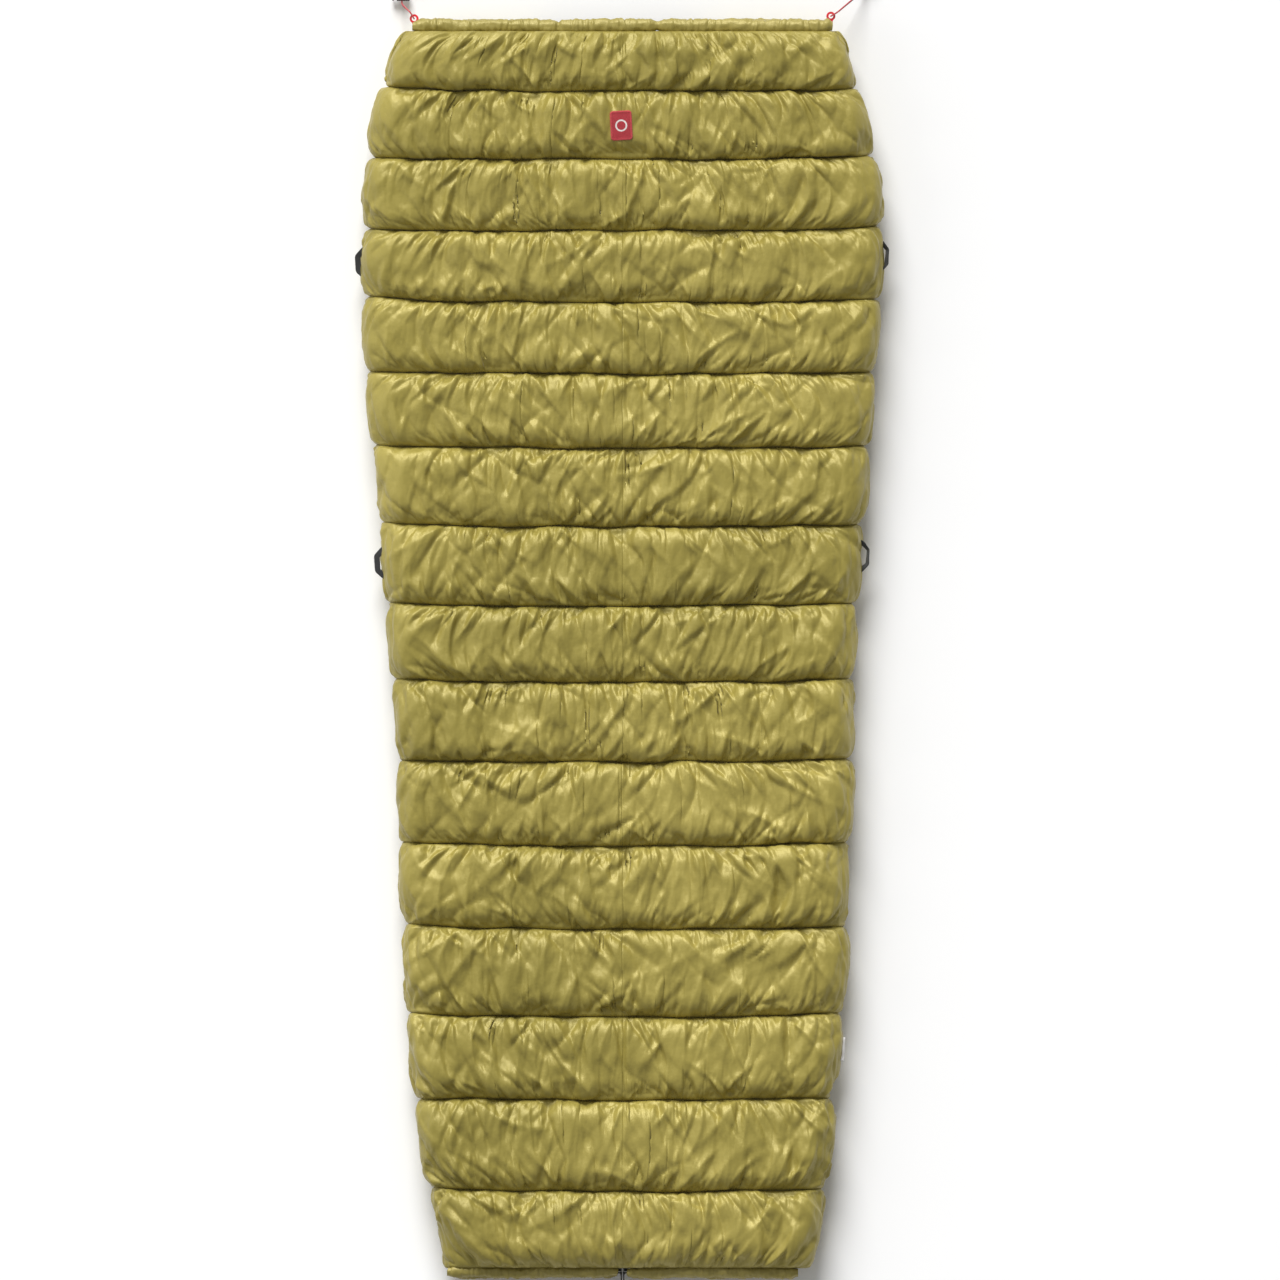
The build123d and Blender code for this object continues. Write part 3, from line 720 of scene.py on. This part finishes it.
def relief(i, laid, v):
    """Outward displacement of chamber i by creases and the side seams."""
    rng = np.random.default_rng(700 + i)
    pitch = SEAM_Y[i] - SEAM_Y[i + 1]
    depth = pitch * 1.12  # over the bulge
    steps = np.linalg.norm(np.diff(laid, axis=0), axis=-1)
    U = np.concatenate([np.zeros((1, NV)), np.cumsum(steps, 0)], 0)
    U[:] = U.mean(1, keepdims=True)
    V = np.broadcast_to((v * pitch * 1.12)[None, :], U.shape)
    k = pitch / 115.0
    out = creases(rng, U, V, depth, [
        (0, 15, 7.8, 60 * k, 122 * k, 0.5, 2.4, 6.0),
        (1, 17, 7.4, 52 * k, 112 * k, 0.5, 2.4, 6.0),
        (0, 10, 2.7, 14, 36, 0.5, 2.1, 3.8),
        (1, 12, 2.7, 14, 36, 0.5, 2.1, 3.8)])
    du, dv = U[:, 0].max() / (len(U) - 1), depth / (NV - 1)
    for wavelength, angle, length, height in ((44, 0.45, 80, 0.8), (44, -0.4, 80, 0.8),
                                              (22, 0.3, 45, 0.32), (22, -0.35, 45, 0.32)):
        out += height * facets(rng, U.shape, du, dv, wavelength, angle, length)
    out -= out[:, NV // 4:-NV // 4].mean()
    # soft limits on height and depth
    out = np.where(out > 0, out / (1 + out / 10.0), out / (1 - out / 18.0))
    x, y, z = laid[..., 0], laid[..., 1], laid[..., 2]
    away = np.abs(x)
    # calmer on the flaps and round the fold
    out *= 1 - 0.45 * smooth((46 - z) / 25)
    out *= 1 - 0.35 * (np.exp(-((z - MID) / 20) ** 2) * (away > 200))
    # smoother towards the two sides of the top, as down fills the edges more
    out *= 1 - 0.35 * smooth((away - 290) / 60) * (z > MID)
    # none at the seams or at the flap hems
    out *= smooth(V / 7) * smooth((depth - V) / 7)
    out *= smooth(np.minimum(U, U[-1] - U) / 14)
    if i == 1:
        # nearly flat under the patch
        d = np.maximum(np.abs(x - PATCH_X) / 22, np.abs(y - PATCH_Y) / 28)
        out *= 1 - 0.85 * np.exp(-d ** 4) * (z > MID)
    for side, (_, sign) in enumerate(SIDES):
        edge = np.interp(y, SEAM_Y[::-1], np.array(SEAM_W[side][::-1], float))
        groove = np.exp(-((z - side_seam_z(side, y)) / 2.6) ** 2)
        out -= 1.5 * groove * (sign * x > 0) * (away > edge - 34)
    return out


def chamber_surface(i):
    """Laid and final points of chamber i."""
    laid, v = laid_shape(i)
    points = cloth(laid, 40 + i)
    points = points + normals(points) * relief(i, laid, v)[..., None]
    y_head, y_foot = SEAM_Y[i], SEAM_Y[i + 1]
    points[..., 1] = np.clip(points[..., 1], y_foot + 0.2, y_head - 0.2)
    points[:, 0, 1], points[:, -1, 1] = y_head, y_foot
    points[..., 2] = np.clip(points[..., 2], 1.0, 109.0)
    # flaps stay outside their inner hem
    x, y = laid[..., 0], laid[..., 1]
    kept = (np.where(x < 0, -1, 1)
            * np.maximum(np.abs(points[..., 0]), inner_x(y) - 0.1))
    points[..., 0] = np.where(laid[..., 2] < 49, kept, points[..., 0])
    # bend with the seams
    t = np.clip((y_head - y) / (y_head - y_foot), 0, 1)
    dy = np.interp(x, SEAM_X, SEAM_DY[i]) * (1 - t) + np.interp(x, SEAM_X, SEAM_DY[i + 1]) * t
    points[..., 1] += dy
    laid = laid.copy()
    laid[..., 1] += dy
    return laid, points


def add_half_chamber(i, name, sign, laid, outer):
    """One side of a chamber: shell outside, lining inside, shaped by each point's share from panel
    to flap; the shares are not stored on the mesh.
    """
    nu, nv = outer.shape[:2]
    inside_fold = fold_x(laid[..., 1]) - np.abs(laid[..., 0]).max(0)[None, :]
    blend_half = 10 * np.clip((48 - inside_fold) / 20, 0.001, 1)
    weight = smooth(0.5 + (MID - laid[..., 2]) / (2 * blend_half))
    sharp = blend_half[0] < 1
    outer = outer.copy()
    # where the outline lies inside the fold line, panel and flap part in one step
    for c in np.nonzero(sharp)[0]:
        on_top = weight[:, c] < 0.5
        q = int(np.nonzero(on_top[1:] != on_top[:-1])[0][0])
        high, low = (q, q + 1) if on_top[q] else (q + 1, q)
        outer[high, c, 2] = max(outer[high, c, 2], 53.0)
        outer[low, c, 2] = min(outer[low, c, 2], 47.0)
    # lining: flat under the centre, tight round the fold, flat over the flap
    full = i < 3 or i == CHAMBERS - 1
    cols = list(range(nv)) if full else [0, nv // 2, nv - 1]
    nl = len(cols)
    laid_cols, lining_weight = laid[:, cols], weight[:, cols]
    edge_x = np.abs(laid[..., 0]).max(0)[cols][None, :] - 9.0
    lining = np.stack([sign * np.minimum(np.abs(laid_cols[..., 0]), edge_x), laid_cols[..., 1],
                       51.2 - 2.4 * lining_weight], -1)
    near = sign * lining[..., 0] > edge_x - 30
    lining[..., 2] = np.where(near & sharp[cols][None, :],
                              np.where(lining_weight < 0.5, 49.0, 51.0), lining[..., 2])
    if not full:
        from_end = np.minimum(np.arange(nu), nu - 1 - np.arange(nu))
        bulge = np.where(lining_weight[:, 1] < 0.5, 1.6, -1.6)
        lining[:, 1, 2] += bulge * smooth(from_end / 12)
    verts = np.concatenate([outer.reshape(-1, 3), lining.reshape(-1, 3)])
    weights = np.concatenate([weight.ravel(), lining_weight.ravel()])
    count = nu * nv
    io = np.arange(count).reshape(nu, nv)
    il = count + np.arange(nu * nl).reshape(nu, nl)
    faces = [
        grid(nu, nv),
        grid(nu, nl, count, flip=True),
        np.stack([io[:-1, 0], io[1:, 0], il[1:, 0], il[:-1, 0]], -1),
        np.stack([io[:-1, -1], il[:-1, -1], il[1:, -1], io[1:, -1]], -1),
        np.concatenate([io[0, ::-1], il[0]])[None, :],
        np.concatenate([io[-1], il[-1, ::-1]])[None, :]]
    counts = [len(block) for block in faces]
    index = np.repeat([0, 1, 0], [counts[0], counts[1], sum(counts[2:])])
    flat = np.arange(counts[0] + counts[1], sum(counts))
    ob = add_mesh(f"chamber_{i + 1:02d}_{name}", (verts, faces), [SHELL, LINING],
                  index, flat)
    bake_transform(ob)
    if len(ob.data.vertices) != len(weights):
        raise SystemExit("chamber mesh lost vertices")
    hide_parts("outer_shell_centre", "inner_lining_centre", "baffle_walls_centre",
                f"down_chamber_{i + 1:02d}", f"outer_shell_{name}_flap",
                f"inner_lining_{name}_flap", f"baffle_walls_{name}_flap",
                f"down_chambers_{name}_flap")


surfaces = []
for i in range(CHAMBERS):
    laid, points = chamber_surface(i)
    surfaces.append(points)
    for (name, sign), half in zip(SIDES, (slice(0, NH), slice(NH - 1, 2 * NH - 1))):
        add_half_chamber(i, name, sign, laid[half], points[half])


# ------------------------------------------------------------------ seam stitches
def stitch_row(points, every=3.6, length=2.2, radius=0.28):
    """Short threads lying along a line, with gaps between."""
    points = np.asarray(points)
    s = lengths(points)
    at = np.arange(every, s[-1] - every, every)

    def along(where):
        return np.stack([np.interp(where, s, points[:, c]) for c in range(3)], 1)

    mid = along(at)
    d = unit(along(at + length / 2) - along(at - length / 2))
    a = unit(np.cross(d, np.array([0, 1.0, 0]) + d[:, [1, 2, 0]] * 0.01))
    b = np.cross(d, a)
    corners = []
    for place, taper in ((-0.5, 0.25), (-0.25, 1.0), (0.25, 1.0), (0.5, 0.25)):
        for q in range(4):
            angle = q * np.pi / 2 + 0.785
            spoke = a * math.cos(angle) + b * math.sin(angle)
            corners.append(mid + d * (place * length) + spoke * radius * taper)
    verts = np.stack(corners, 1)
    one = np.concatenate([grid(4, 4, wrap=True), np.array([[3, 2, 1, 0], [12, 13, 14, 15]])])
    faces = (one[None] + (np.arange(len(verts)) * 16)[:, None, None]).reshape(-1, 4)
    return verts.reshape(-1, 3), [faces]


THREAD_LIFT = np.array([0, 0, 0.25])
seam_lines = [points[:, 0] for points in surfaces] + [surfaces[-1][:, -1]]
rows = [stitch_row(line[line[:, 2] > 62] + THREAD_LIFT) for line in seam_lines]
add_piece("seam_stitches_centre", merge(rows), [THREAD], "centre_panel")
for name, sign in SIDES:
    rows = []
    for line in seam_lines:
        under = (line[:, 2] < 30) & (sign * line[:, 0] > 0)
        if under.sum() > 10:
            rows.append(stitch_row(line[under] - THREAD_LIFT))
    add_piece(f"seam_stitches_{name}_flap", merge(rows), [THREAD], f"{name}_flap")


# ------------------------------------------------------------------ drawcord hems
def hem(x0, x1, centre, radii, seed, pinches):
    """Gathered fabric tunnel along X.

    centre and radii are (y, z); a pinch is (x, width, depth as a share of the radius).
    """
    rng = np.random.default_rng(seed)
    step, sides = 1.4, 22
    n = int((x1 - x0) / step)
    x = np.linspace(x0, x1, n)

    def curve(wavelength):
        return random_curve(rng, n, step, wavelength)

    angle = (np.arange(sides) * 2 * np.pi / sides)[None, :]
    puckers = np.abs(curve(9.0))[:, None]
    fine = np.abs(curve(5.0))[:, None]
    broad = curve(30.0)[:, None]
    skew = curve(16.0)[:, None]
    scale = (1.02 + 0.12 * (puckers - 0.8) * (0.6 + 0.4 * np.sin(angle + skew))
             + 0.08 * (fine - 0.8) * np.sin(angle * 2 + skew * 2) + 0.03 * broad)
    scale = scale + 0.05 * np.stack([curve(12.0) for _ in range(sides)], 1)
    for at, width, depth in pinches:
        scale = scale * (1 - depth * np.exp(-((x - at) / width) ** 2))[:, None]
    scale = np.clip(scale, 0.45, 1.22)
    wander = curve(40.0) * 0.7
    verts = np.stack([np.clip(x[:, None] + 2.2 * np.cos(angle) * skew * 0.5, x0, x1),
                      centre[0] + wander[:, None] + radii[0] * scale * np.cos(angle),
                      centre[1] + radii[1] * scale * np.sin(angle)], -1)
    return verts.reshape(-1, 3), loft(n, sides)


HEAD_X, FOOT_X = 327, 273  # outer ends of the hems
HEAD_IN, FOOT_IN = 132, 8.2  # inner ends of the flaps' hems
FOOT_GAP = 6.5  # half the gap in the centre panel's foot hem
TOP_HEM_Z, FLAP_HEM_Z = 62.5, 38

head = hem(-HEAD_X, HEAD_X, (Y_HEAD_HEM - 1.5, TOP_HEM_Z), (10.6, 8.4), 1,
           ((-100, 5, 0.3), (54, 6, 0.3), (-HEAD_X, 8, 0.35), (HEAD_X, 8, 0.35)))
add_piece("head_hem", head, [HEM], "centre_panel", "head_hem_centre")
foot_centre, foot_radii = (Y_FOOT_HEM + 1, TOP_HEM_Z), (9.0, 7.8)
foot = merge([
    hem(-FOOT_X, -FOOT_GAP, foot_centre, foot_radii, 2, ((-8, 12, 0.4), (-FOOT_X, 9, 0.4))),
    hem(FOOT_GAP, FOOT_X, foot_centre, foot_radii, 3,
        ((8, 12, 0.4), (FOOT_X, 9, 0.4), (21, 5, 0.3)))])
add_piece("foot_hem", foot, [HEM], "centre_panel", "foot_hem_centre")
for name, sign in SIDES:
    both = merge([
        hem(*sorted((sign * HEAD_IN, sign * HEAD_X)), (Y_HEAD_HEM - 0.5, FLAP_HEM_Z), (9.4, 6.2),
            4 + sign, ((sign * HEAD_IN, 7, 0.4), (sign * HEAD_X, 10, 0.4))),
        hem(*sorted((sign * FOOT_IN, sign * FOOT_X)), (Y_FOOT_HEM, FLAP_HEM_Z), (8.0, 6.2),
            8 + sign, ((sign * FOOT_IN, 7, 0.4), (sign * FOOT_X, 9, 0.4)))])
    add_piece(f"hems_{name}", both, [HEM], f"{name}_flap", f"hems_{name}_flap")

# ------------------------------------------------------------------ cords and knots
LOCK_Z = 10.0
STACK = 1.7  # strand centres above and below LOCK_Z in the lock
SPREAD = 1.9  # strand centres either side of the sloping run's middle line
CORD_Z, CORD_R = 62.0, 1.1
KNOT_AHEAD = 4.3  # from the strands' ends to the knot's centre
LOWER_BEND, UPPER_BEND = 7.0, 3.4  # bend radii of the strands at the lock


def descent(start, end, z_start, rise, strand):
    """Horizontal distances where a strand (1 upper, -1 lower) bends into and out of its slope."""
    drop = z_start - LOCK_Z
    slant = math.hypot(end - start, drop)
    x = start + strand * SPREAD * (drop / slant)
    z = z_start + strand * SPREAD * ((end - start) / slant)
    run = (end - start) / drop
    return (x - (z_start + strand * rise - z) * run,
            x + (z - LOCK_Z - strand * STACK) * run)


def knot_at(x, y):
    t = np.linspace(0, 2 * np.pi, 90, endpoint=False)
    p = 1.02 * np.stack([np.sin(t) + 2 * np.sin(2 * t), 0.9 * (np.cos(t) - 2 * np.cos(2 * t)),
                         -1.25 * np.sin(3 * t)], 1)
    return tube(np.concatenate([p, p[:1]]) + np.array([x, y, LOCK_Z]), 1.08, pattern=braid)


parts = []
for s in (-1, 1):
    _, reach = descent(8.0, 30.0, CORD_Z, 0.0, s)
    lock_z = LOCK_Z + s * STACK
    path = rounded([(s * 269, Y_FOOT_HEM, CORD_Z), (s * SPREAD, Y_FOOT_HEM, CORD_Z),
                    (s * SPREAD, Y_FOOT - 8, CORD_Z), (0, Y_FOOT - reach, lock_z),
                    (0, Y_FOOT - 75.0, lock_z)],
                   (4.0, 5.0, UPPER_BEND if s > 0 else LOWER_BEND))
    parts.append(tube(path, CORD_R, pattern=braid))
parts.append(knot_at(0, Y_FOOT - 75.0 - KNOT_AHEAD))
add_piece("foot_cord", merge(parts), [DARK_CORD], BODY["foot_drawcord"],
          "foot_drawcord")
path = np.stack([np.linspace(-323, 323, 800), np.full(800, Y_HEAD_HEM), np.full(800, CORD_Z)], 1)
add_piece("neck_elastic", tube(path, 1.5, pattern=braid), [DARK_CORD],
          BODY["neck_drawcord"], "neck_drawcord")

TAB_X = 324.0
LEFT_Y, RIGHT_Y = Y_HEAD + 2.0, Y_HEAD + 6.0
LEFT_LOCK_X, RIGHT_LOCK_X = -TAB_X - 19, TAB_X + 53
NECK_RISE = 3.6  # strands above and below MID as they leave the hole


def add_neck_cord(name, hole, bend, lock, tail):
    """Two strands from the tab's hole by way of a bend to the lock (x, y each), then to tail y."""
    bend_at = math.dist(hole, bend)
    lock_at = bend_at + math.dist(bend, lock)

    def plan_at(h):
        """Place in plan at distance h from the hole."""
        if h <= bend_at:
            a, b, t = hole, bend, h / bend_at
        else:
            a, b, t = bend, lock, (h - bend_at) / (lock_at - bend_at)
        return a[0] + (b[0] - a[0]) * t, a[1] + (b[1] - a[1]) * t

    parts, index = [], []

    def add(part, material):
        parts.append(part)
        index.extend([material] * sum(len(block) for block in part[1]))

    for s in (1, -1):
        leave, arrive = descent(bend_at, lock_at, MID, NECK_RISE, s)
        z, lock_z = MID + s * NECK_RISE, LOCK_Z + s * STACK
        path = rounded([(*hole, MID + s * 0.05), (*hole, z), (*plan_at(leave), z),
                        (lock[0], plan_at(arrive)[1], lock_z), (lock[0], tail, lock_z)],
                       (3.0, 6.0, UPPER_BEND) if s > 0 else (3.0, 3.0, LOWER_BEND))
        add(tube(path, CORD_R, pattern=braid), 0 if (s > 0 or name == "left") else 1)
    add(knot_at(lock[0], tail + KNOT_AHEAD), 0)
    add_piece(f"neck_cord_{name}_braid", merge(parts), [RED_CORD, DARK_CORD],
              BODY[f"neck_cord_{name}"], f"neck_cord_{name}", index)


add_neck_cord("left", hole=(-TAB_X, LEFT_Y), bend=(-TAB_X - 6, LEFT_Y + 10),
              lock=(LEFT_LOCK_X, LEFT_Y + 22), tail=Y_HEAD + 82.0)
add_neck_cord("right", hole=(TAB_X, RIGHT_Y), bend=(TAB_X + 11, RIGHT_Y + 6.5),
              lock=(RIGHT_LOCK_X, RIGHT_Y + 42), tail=Y_HEAD + 113.29)

# ------------------------------------------------------------------ lock springs
SPRING_PITCH, SPRING_LENGTH, SPRING_R = 1.7, 6.4, 3.1
# name, x and y of the lock, direction along X
for name, x, y, way in (("neck_lock_spring_left", LEFT_LOCK_X, Y_HEAD + 36.0, -1),
                        ("neck_lock_spring_right", RIGHT_LOCK_X, Y_HEAD + 64.0, 1),
                        ("foot_lock_spring", 0.0, Y_FOOT - 42.0, 1)):
    t = np.linspace(0, SPRING_LENGTH / SPRING_PITCH * 2 * np.pi, 130)
    path = np.stack([x + way * (-9.9 + SPRING_PITCH * t / (2 * np.pi)),
                     y + SPRING_R * np.cos(t), LOCK_Z + SPRING_R * np.sin(t)], 1)
    ob = add_piece(name + "_wire", tube(path, 0.34), [STEEL], BODY[name], name)
    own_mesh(ob)

# ------------------------------------------------------------------ webbing loops on the fold
# name, side, distance from the head, reach, twist in degrees
for name, sign, from_head, out, twist in (("side_loop_upper_left", -1, 378.0, 18.5, 12),
                                          ("side_loop_lower_left", -1, 844.0, 18.5, -8),
                                          ("side_loop_upper_right", 1, 367.0, 17.8, 58),
                                          ("side_loop_lower_right", 1, 834.0, 17.8, 66)):
    y = Y_HEAD - from_head
    tip = out - 4.9
    path = rounded([(-7.0, 22.5, 0), (3.0, 21.5, 0), (tip, 11.0, 0),
                    (tip, -11.0, 0), (3.0, -21.5, 0), (-7.0, -22.5, 0)],
                   (6.0, 4.5, 4.5, 6.0), 1.0)
    n = len(path)
    s = np.linspace(0, 1, n)
    tangent = unit(np.gradient(path, axis=0))
    level = np.stack([-tangent[:, 1], tangent[:, 0], np.zeros(n)], 1)
    angle = (np.radians(twist) * np.sin(np.pi * s) ** 0.7 + 0.10 * np.sin(7 * s))[:, None]
    across = level * np.cos(angle) + np.array([0, 0, 1.0]) * np.sin(angle)
    path[:, 2] += 1.2 * np.sin(2 * np.pi * s) - 1.0 * np.sin(np.pi * s)
    verts, faces = ribbon(path, across, width=9.0, thick=1.3, count=7)
    turned_x, turned_y = turned(sign * verts[:, 0], verts[:, 1], -sign * FOLD_ANGLE,
                                (sign * fold_x(y), y))
    verts = np.stack([turned_x, turned_y, verts[:, 2] + MID], 1)
    if sign < 0:
        faces = [block[:, ::-1] for block in faces]
    add_piece(name + "_web", (verts, faces), [WEB_BLACK], BODY[name], name)

# ------------------------------------------------------------------ care label on the right fold
y = Y_HEAD - 1599.0
uu, vv = np.meshgrid(np.linspace(-4, 26, 26), np.linspace(-18.5, 18.5, 20), indexing="ij")
curl = (0.9 * np.sin((uu + 4) / 30 * 2.6 + vv * 0.05) * smooth((uu + 4) / 10)
        + 0.35 * np.sin(vv * 0.35 + uu * 0.1) * smooth((uu + 2) / 12))
label_xy = turned(uu, vv, -FOLD_ANGLE, (fold_x(y), y))
label = sheet(np.stack([*label_xy, MID + 0.22 + curl], -1),
              np.stack([*label_xy, MID - 0.22 + curl], -1))
add_piece("care_label_sheet", label, [LABEL], BODY["care_label"], "care_label")

# ------------------------------------------------------------------ woven patch
# laid on the top of the second chamber
PATCH_HW, PATCH_HH, PATCH_CORNER = 17.0, 23.0, 5.0
PATCH_TURN = math.radians(3)
STITCH_INSET = 2.6


def surface_z(px, py):
    """Height of the padded top near each point."""
    top = surfaces[1].reshape(-1, 3)
    top = top[(top[:, 2] > 60) & (np.abs(top[:, 0] - PATCH_X) < 45)
              & (np.abs(top[:, 1] - PATCH_Y) < 50)]
    out = np.zeros(len(px))
    for k in range(len(px)):
        d = (top[:, 0] - px[k]) ** 2 + (top[:, 1] - py[k]) ** 2
        out[k] = top[np.argsort(d)[:6], 2].max()
    return out


uu, vv = np.meshgrid(np.linspace(-1, 1, 25), np.linspace(-1, 1, 33), indexing="ij")
# square grid squeezed so that its corners are rounded
x, y = uu * PATCH_HW, vv * PATCH_HH
core_x = np.clip(x, -(PATCH_HW - PATCH_CORNER), PATCH_HW - PATCH_CORNER)
core_y = np.clip(y, -(PATCH_HH - PATCH_CORNER), PATCH_HH - PATCH_CORNER)
dx, dy = x - core_x, y - core_y
distance = np.hypot(dx, dy) + 1e-9
limit = np.maximum(np.abs(dx), np.abs(dy))
x, y = core_x + dx / distance * limit, core_y + dy / distance * limit
px, py = turned(x, y, PATCH_TURN, (PATCH_X, PATCH_Y))
pz = surface_z(px.ravel(), py.ravel()).reshape(px.shape)
for _ in range(10):
    q = np.pad(pz, 1, mode="edge")
    pz = (q[:-2, 1:-1] + q[2:, 1:-1] + q[1:-1, :-2] + q[1:-1, 2:] + q[1:-1, 1:-1]) / 5
edge = np.maximum(np.abs(uu), np.abs(vv))
lift = 0.9 + 0.5 * np.exp(-((edge - 0.93) / 0.05) ** 2)  # raised border
top = np.stack([px, py, pz + lift], -1)
patch = sheet(top, np.stack([px, py, pz - 1.2], -1))
face_edge = np.maximum(np.abs(uu[:-1, :-1] + uu[1:, 1:]) / 2, np.abs(vv[:-1, :-1] + vv[1:, 1:]) / 2)
index = np.concatenate([(face_edge.ravel() > 0.86).astype(int),
                        np.ones(sum(len(block) for block in patch[1][1:]))])
add_piece("woven_patch_cloth", patch, [PATCH, PATCH_EDGE], BODY["woven_patch"],
          "woven_patch", index)

ring = []
for q in np.linspace(0, 1, 161):
    c, s = math.cos(2 * np.pi * q), math.sin(2 * np.pi * q)
    k = 1 / max(abs(c) / (PATCH_HW - STITCH_INSET), abs(s) / (PATCH_HH - STITCH_INSET))
    ring.append((c * k, s * k))
rx, ry = turned(*np.array(ring).T, PATCH_TURN, (PATCH_X, PATCH_Y))
flat_top = top.reshape(-1, 3)
rz = np.array([flat_top[np.argmin((flat_top[:, 0] - a) ** 2 + (flat_top[:, 1] - b) ** 2), 2]
               for a, b in zip(rx, ry)])
stitches = stitch_row(np.stack([rx, ry, rz + 0.12], 1), every=2.6, length=1.8, radius=0.26)
add_piece("patch_stitches", stitches, [PATCH_EDGE], BODY["woven_patch"])

# ------------------------------------------------------------------ foot-box zip
ZIP_Z = 25.0
TOOTH_PITCH = 1.5
for side, sign in SIDES:
    head_y = Y_ZIP + (14.0 if sign > 0 else 0.0)
    foot_y = Y_FOOT + 9.0
    n = int((head_y - foot_y) / 2.0)
    y = np.linspace(foot_y, head_y, n)
    path = np.stack([np.full(n, sign * 5.9), y,
                     ZIP_Z + 0.25 * np.sin(y * 0.11) + 0.15 * np.sin(y * 0.37 + sign)], 1)
    tape = ribbon(path, np.tile([1.0, 0, 0], (n, 1)), width=7.0, thick=0.6, count=6)
    name = f"zip_tape_{side}"
    add_piece(name + "_cloth", tape, [ZIP_TAPE], BODY[name], name)
    turns = (head_y - foot_y) / TOOTH_PITCH
    t = np.linspace(0, turns * 2 * np.pi, int(turns * 10))
    path = np.stack([sign * (1.55 + 0.72 * np.cos(t)), foot_y + TOOTH_PITCH * t / (2 * np.pi),
                     ZIP_Z + 0.95 * np.sin(t)], 1)
    name = f"zip_coil_{side}"
    add_piece(name + "_turns", tube(path, 0.3, sides=5), [COIL], BODY[name], name)

# ------------------------------------------------------------------ materials of the CAD pieces
SLOT_MATERIAL = {
    "red_plastic": RED_PLASTIC, "lock_plastic": LOCK, "button_plastic": BUTTON,
    "spring_steel": STEEL, "zip_metal": ZIP_METAL, "shell_nylon": SHELL, "lining_nylon": LINING,
    "wall_mesh": LABEL, "down_fill": LABEL, "elastic_cord": DARK_CORD, "red_cord": RED_CORD,
    "black_webbing": WEB_BLACK, "label_satin": LABEL, "patch_weave": PATCH, "zip_tape": ZIP_TAPE,
    "zip_coil": COIL}
for part in frame["record"]["subparts"]:
    ob = frame["nodes"][part["node"]]
    material = SLOT_MATERIAL[part["material_slot"]]
    if not ob.material_slots:
        ob.data.materials.append(material)
    for slot in ob.material_slots:
        slot.material = material


# ------------------------------------------------------------------ floor, light, camera (metres)
def aim(ob, direction):
    ob.rotation_euler = Vector(direction).to_track_quat("-Z", "Y").to_euler()


def add_floor():
    bpy.ops.mesh.primitive_plane_add(size=160, location=(0, 0, -0.0012))
    floor = bpy.context.object
    floor.name = "studio_floor"
    material, _, shader = new_material("studio_floor")
    set_inputs(shader, {"Base Color": (0.92, 0.92, 0.92, 1), "Roughness": 0.9})
    floor.data.materials.append(material)


def add_world():
    """White surroundings, brighter to the camera than as light."""
    world = bpy.data.worlds.new("studio")
    bpy.context.scene.world = world
    world.use_nodes = True
    tree = world.node_tree
    background = tree.nodes["Background"]
    background.inputs[0].default_value = (1, 1, 1, 1)
    light_path = tree.nodes.new("ShaderNodeLightPath")
    strength = to_range(tree, light_path.outputs["Is Camera Ray"], low=0.34, high=0.93)
    tree.links.new(strength, background.inputs[1])


def add_lights():
    """Broad sun slanting from the head towards the foot, and a soft panel at the left."""
    sun = bpy.data.lights.new("key", "SUN")
    sun.energy = 4.1
    sun.angle = math.radians(30)
    key = bpy.data.objects.new("key", sun)
    aim(key, (0.17, -1.0, -0.66))
    bpy.context.scene.collection.objects.link(key)
    panel = bpy.data.lights.new("side", "AREA")
    panel.energy = 22
    panel.shape = "RECTANGLE"
    panel.size = 1.8
    panel.size_y = 2.4
    side = bpy.data.objects.new("side", panel)
    side.location = (-3.0, 0.6, 1.9)
    aim(side, -Vector((-3.0, 0.6, 1.9)))
    bpy.context.scene.collection.objects.link(side)


def add_camera():
    """Flat view straight down."""
    data = bpy.data.cameras.new("camera")
    data.type = "ORTHO"
    data.ortho_scale = 1.9904
    data.clip_end = 20
    camera = bpy.data.objects.new("camera", data)
    camera.location = (0.0272, -0.0057, 4.0)
    bpy.context.scene.collection.objects.link(camera)
    bpy.context.scene.camera = camera
    bpy.context.scene.view_settings.view_transform = "Standard"


add_floor()
add_world()
add_lights()
add_camera()

bpy.context.view_layer.update()
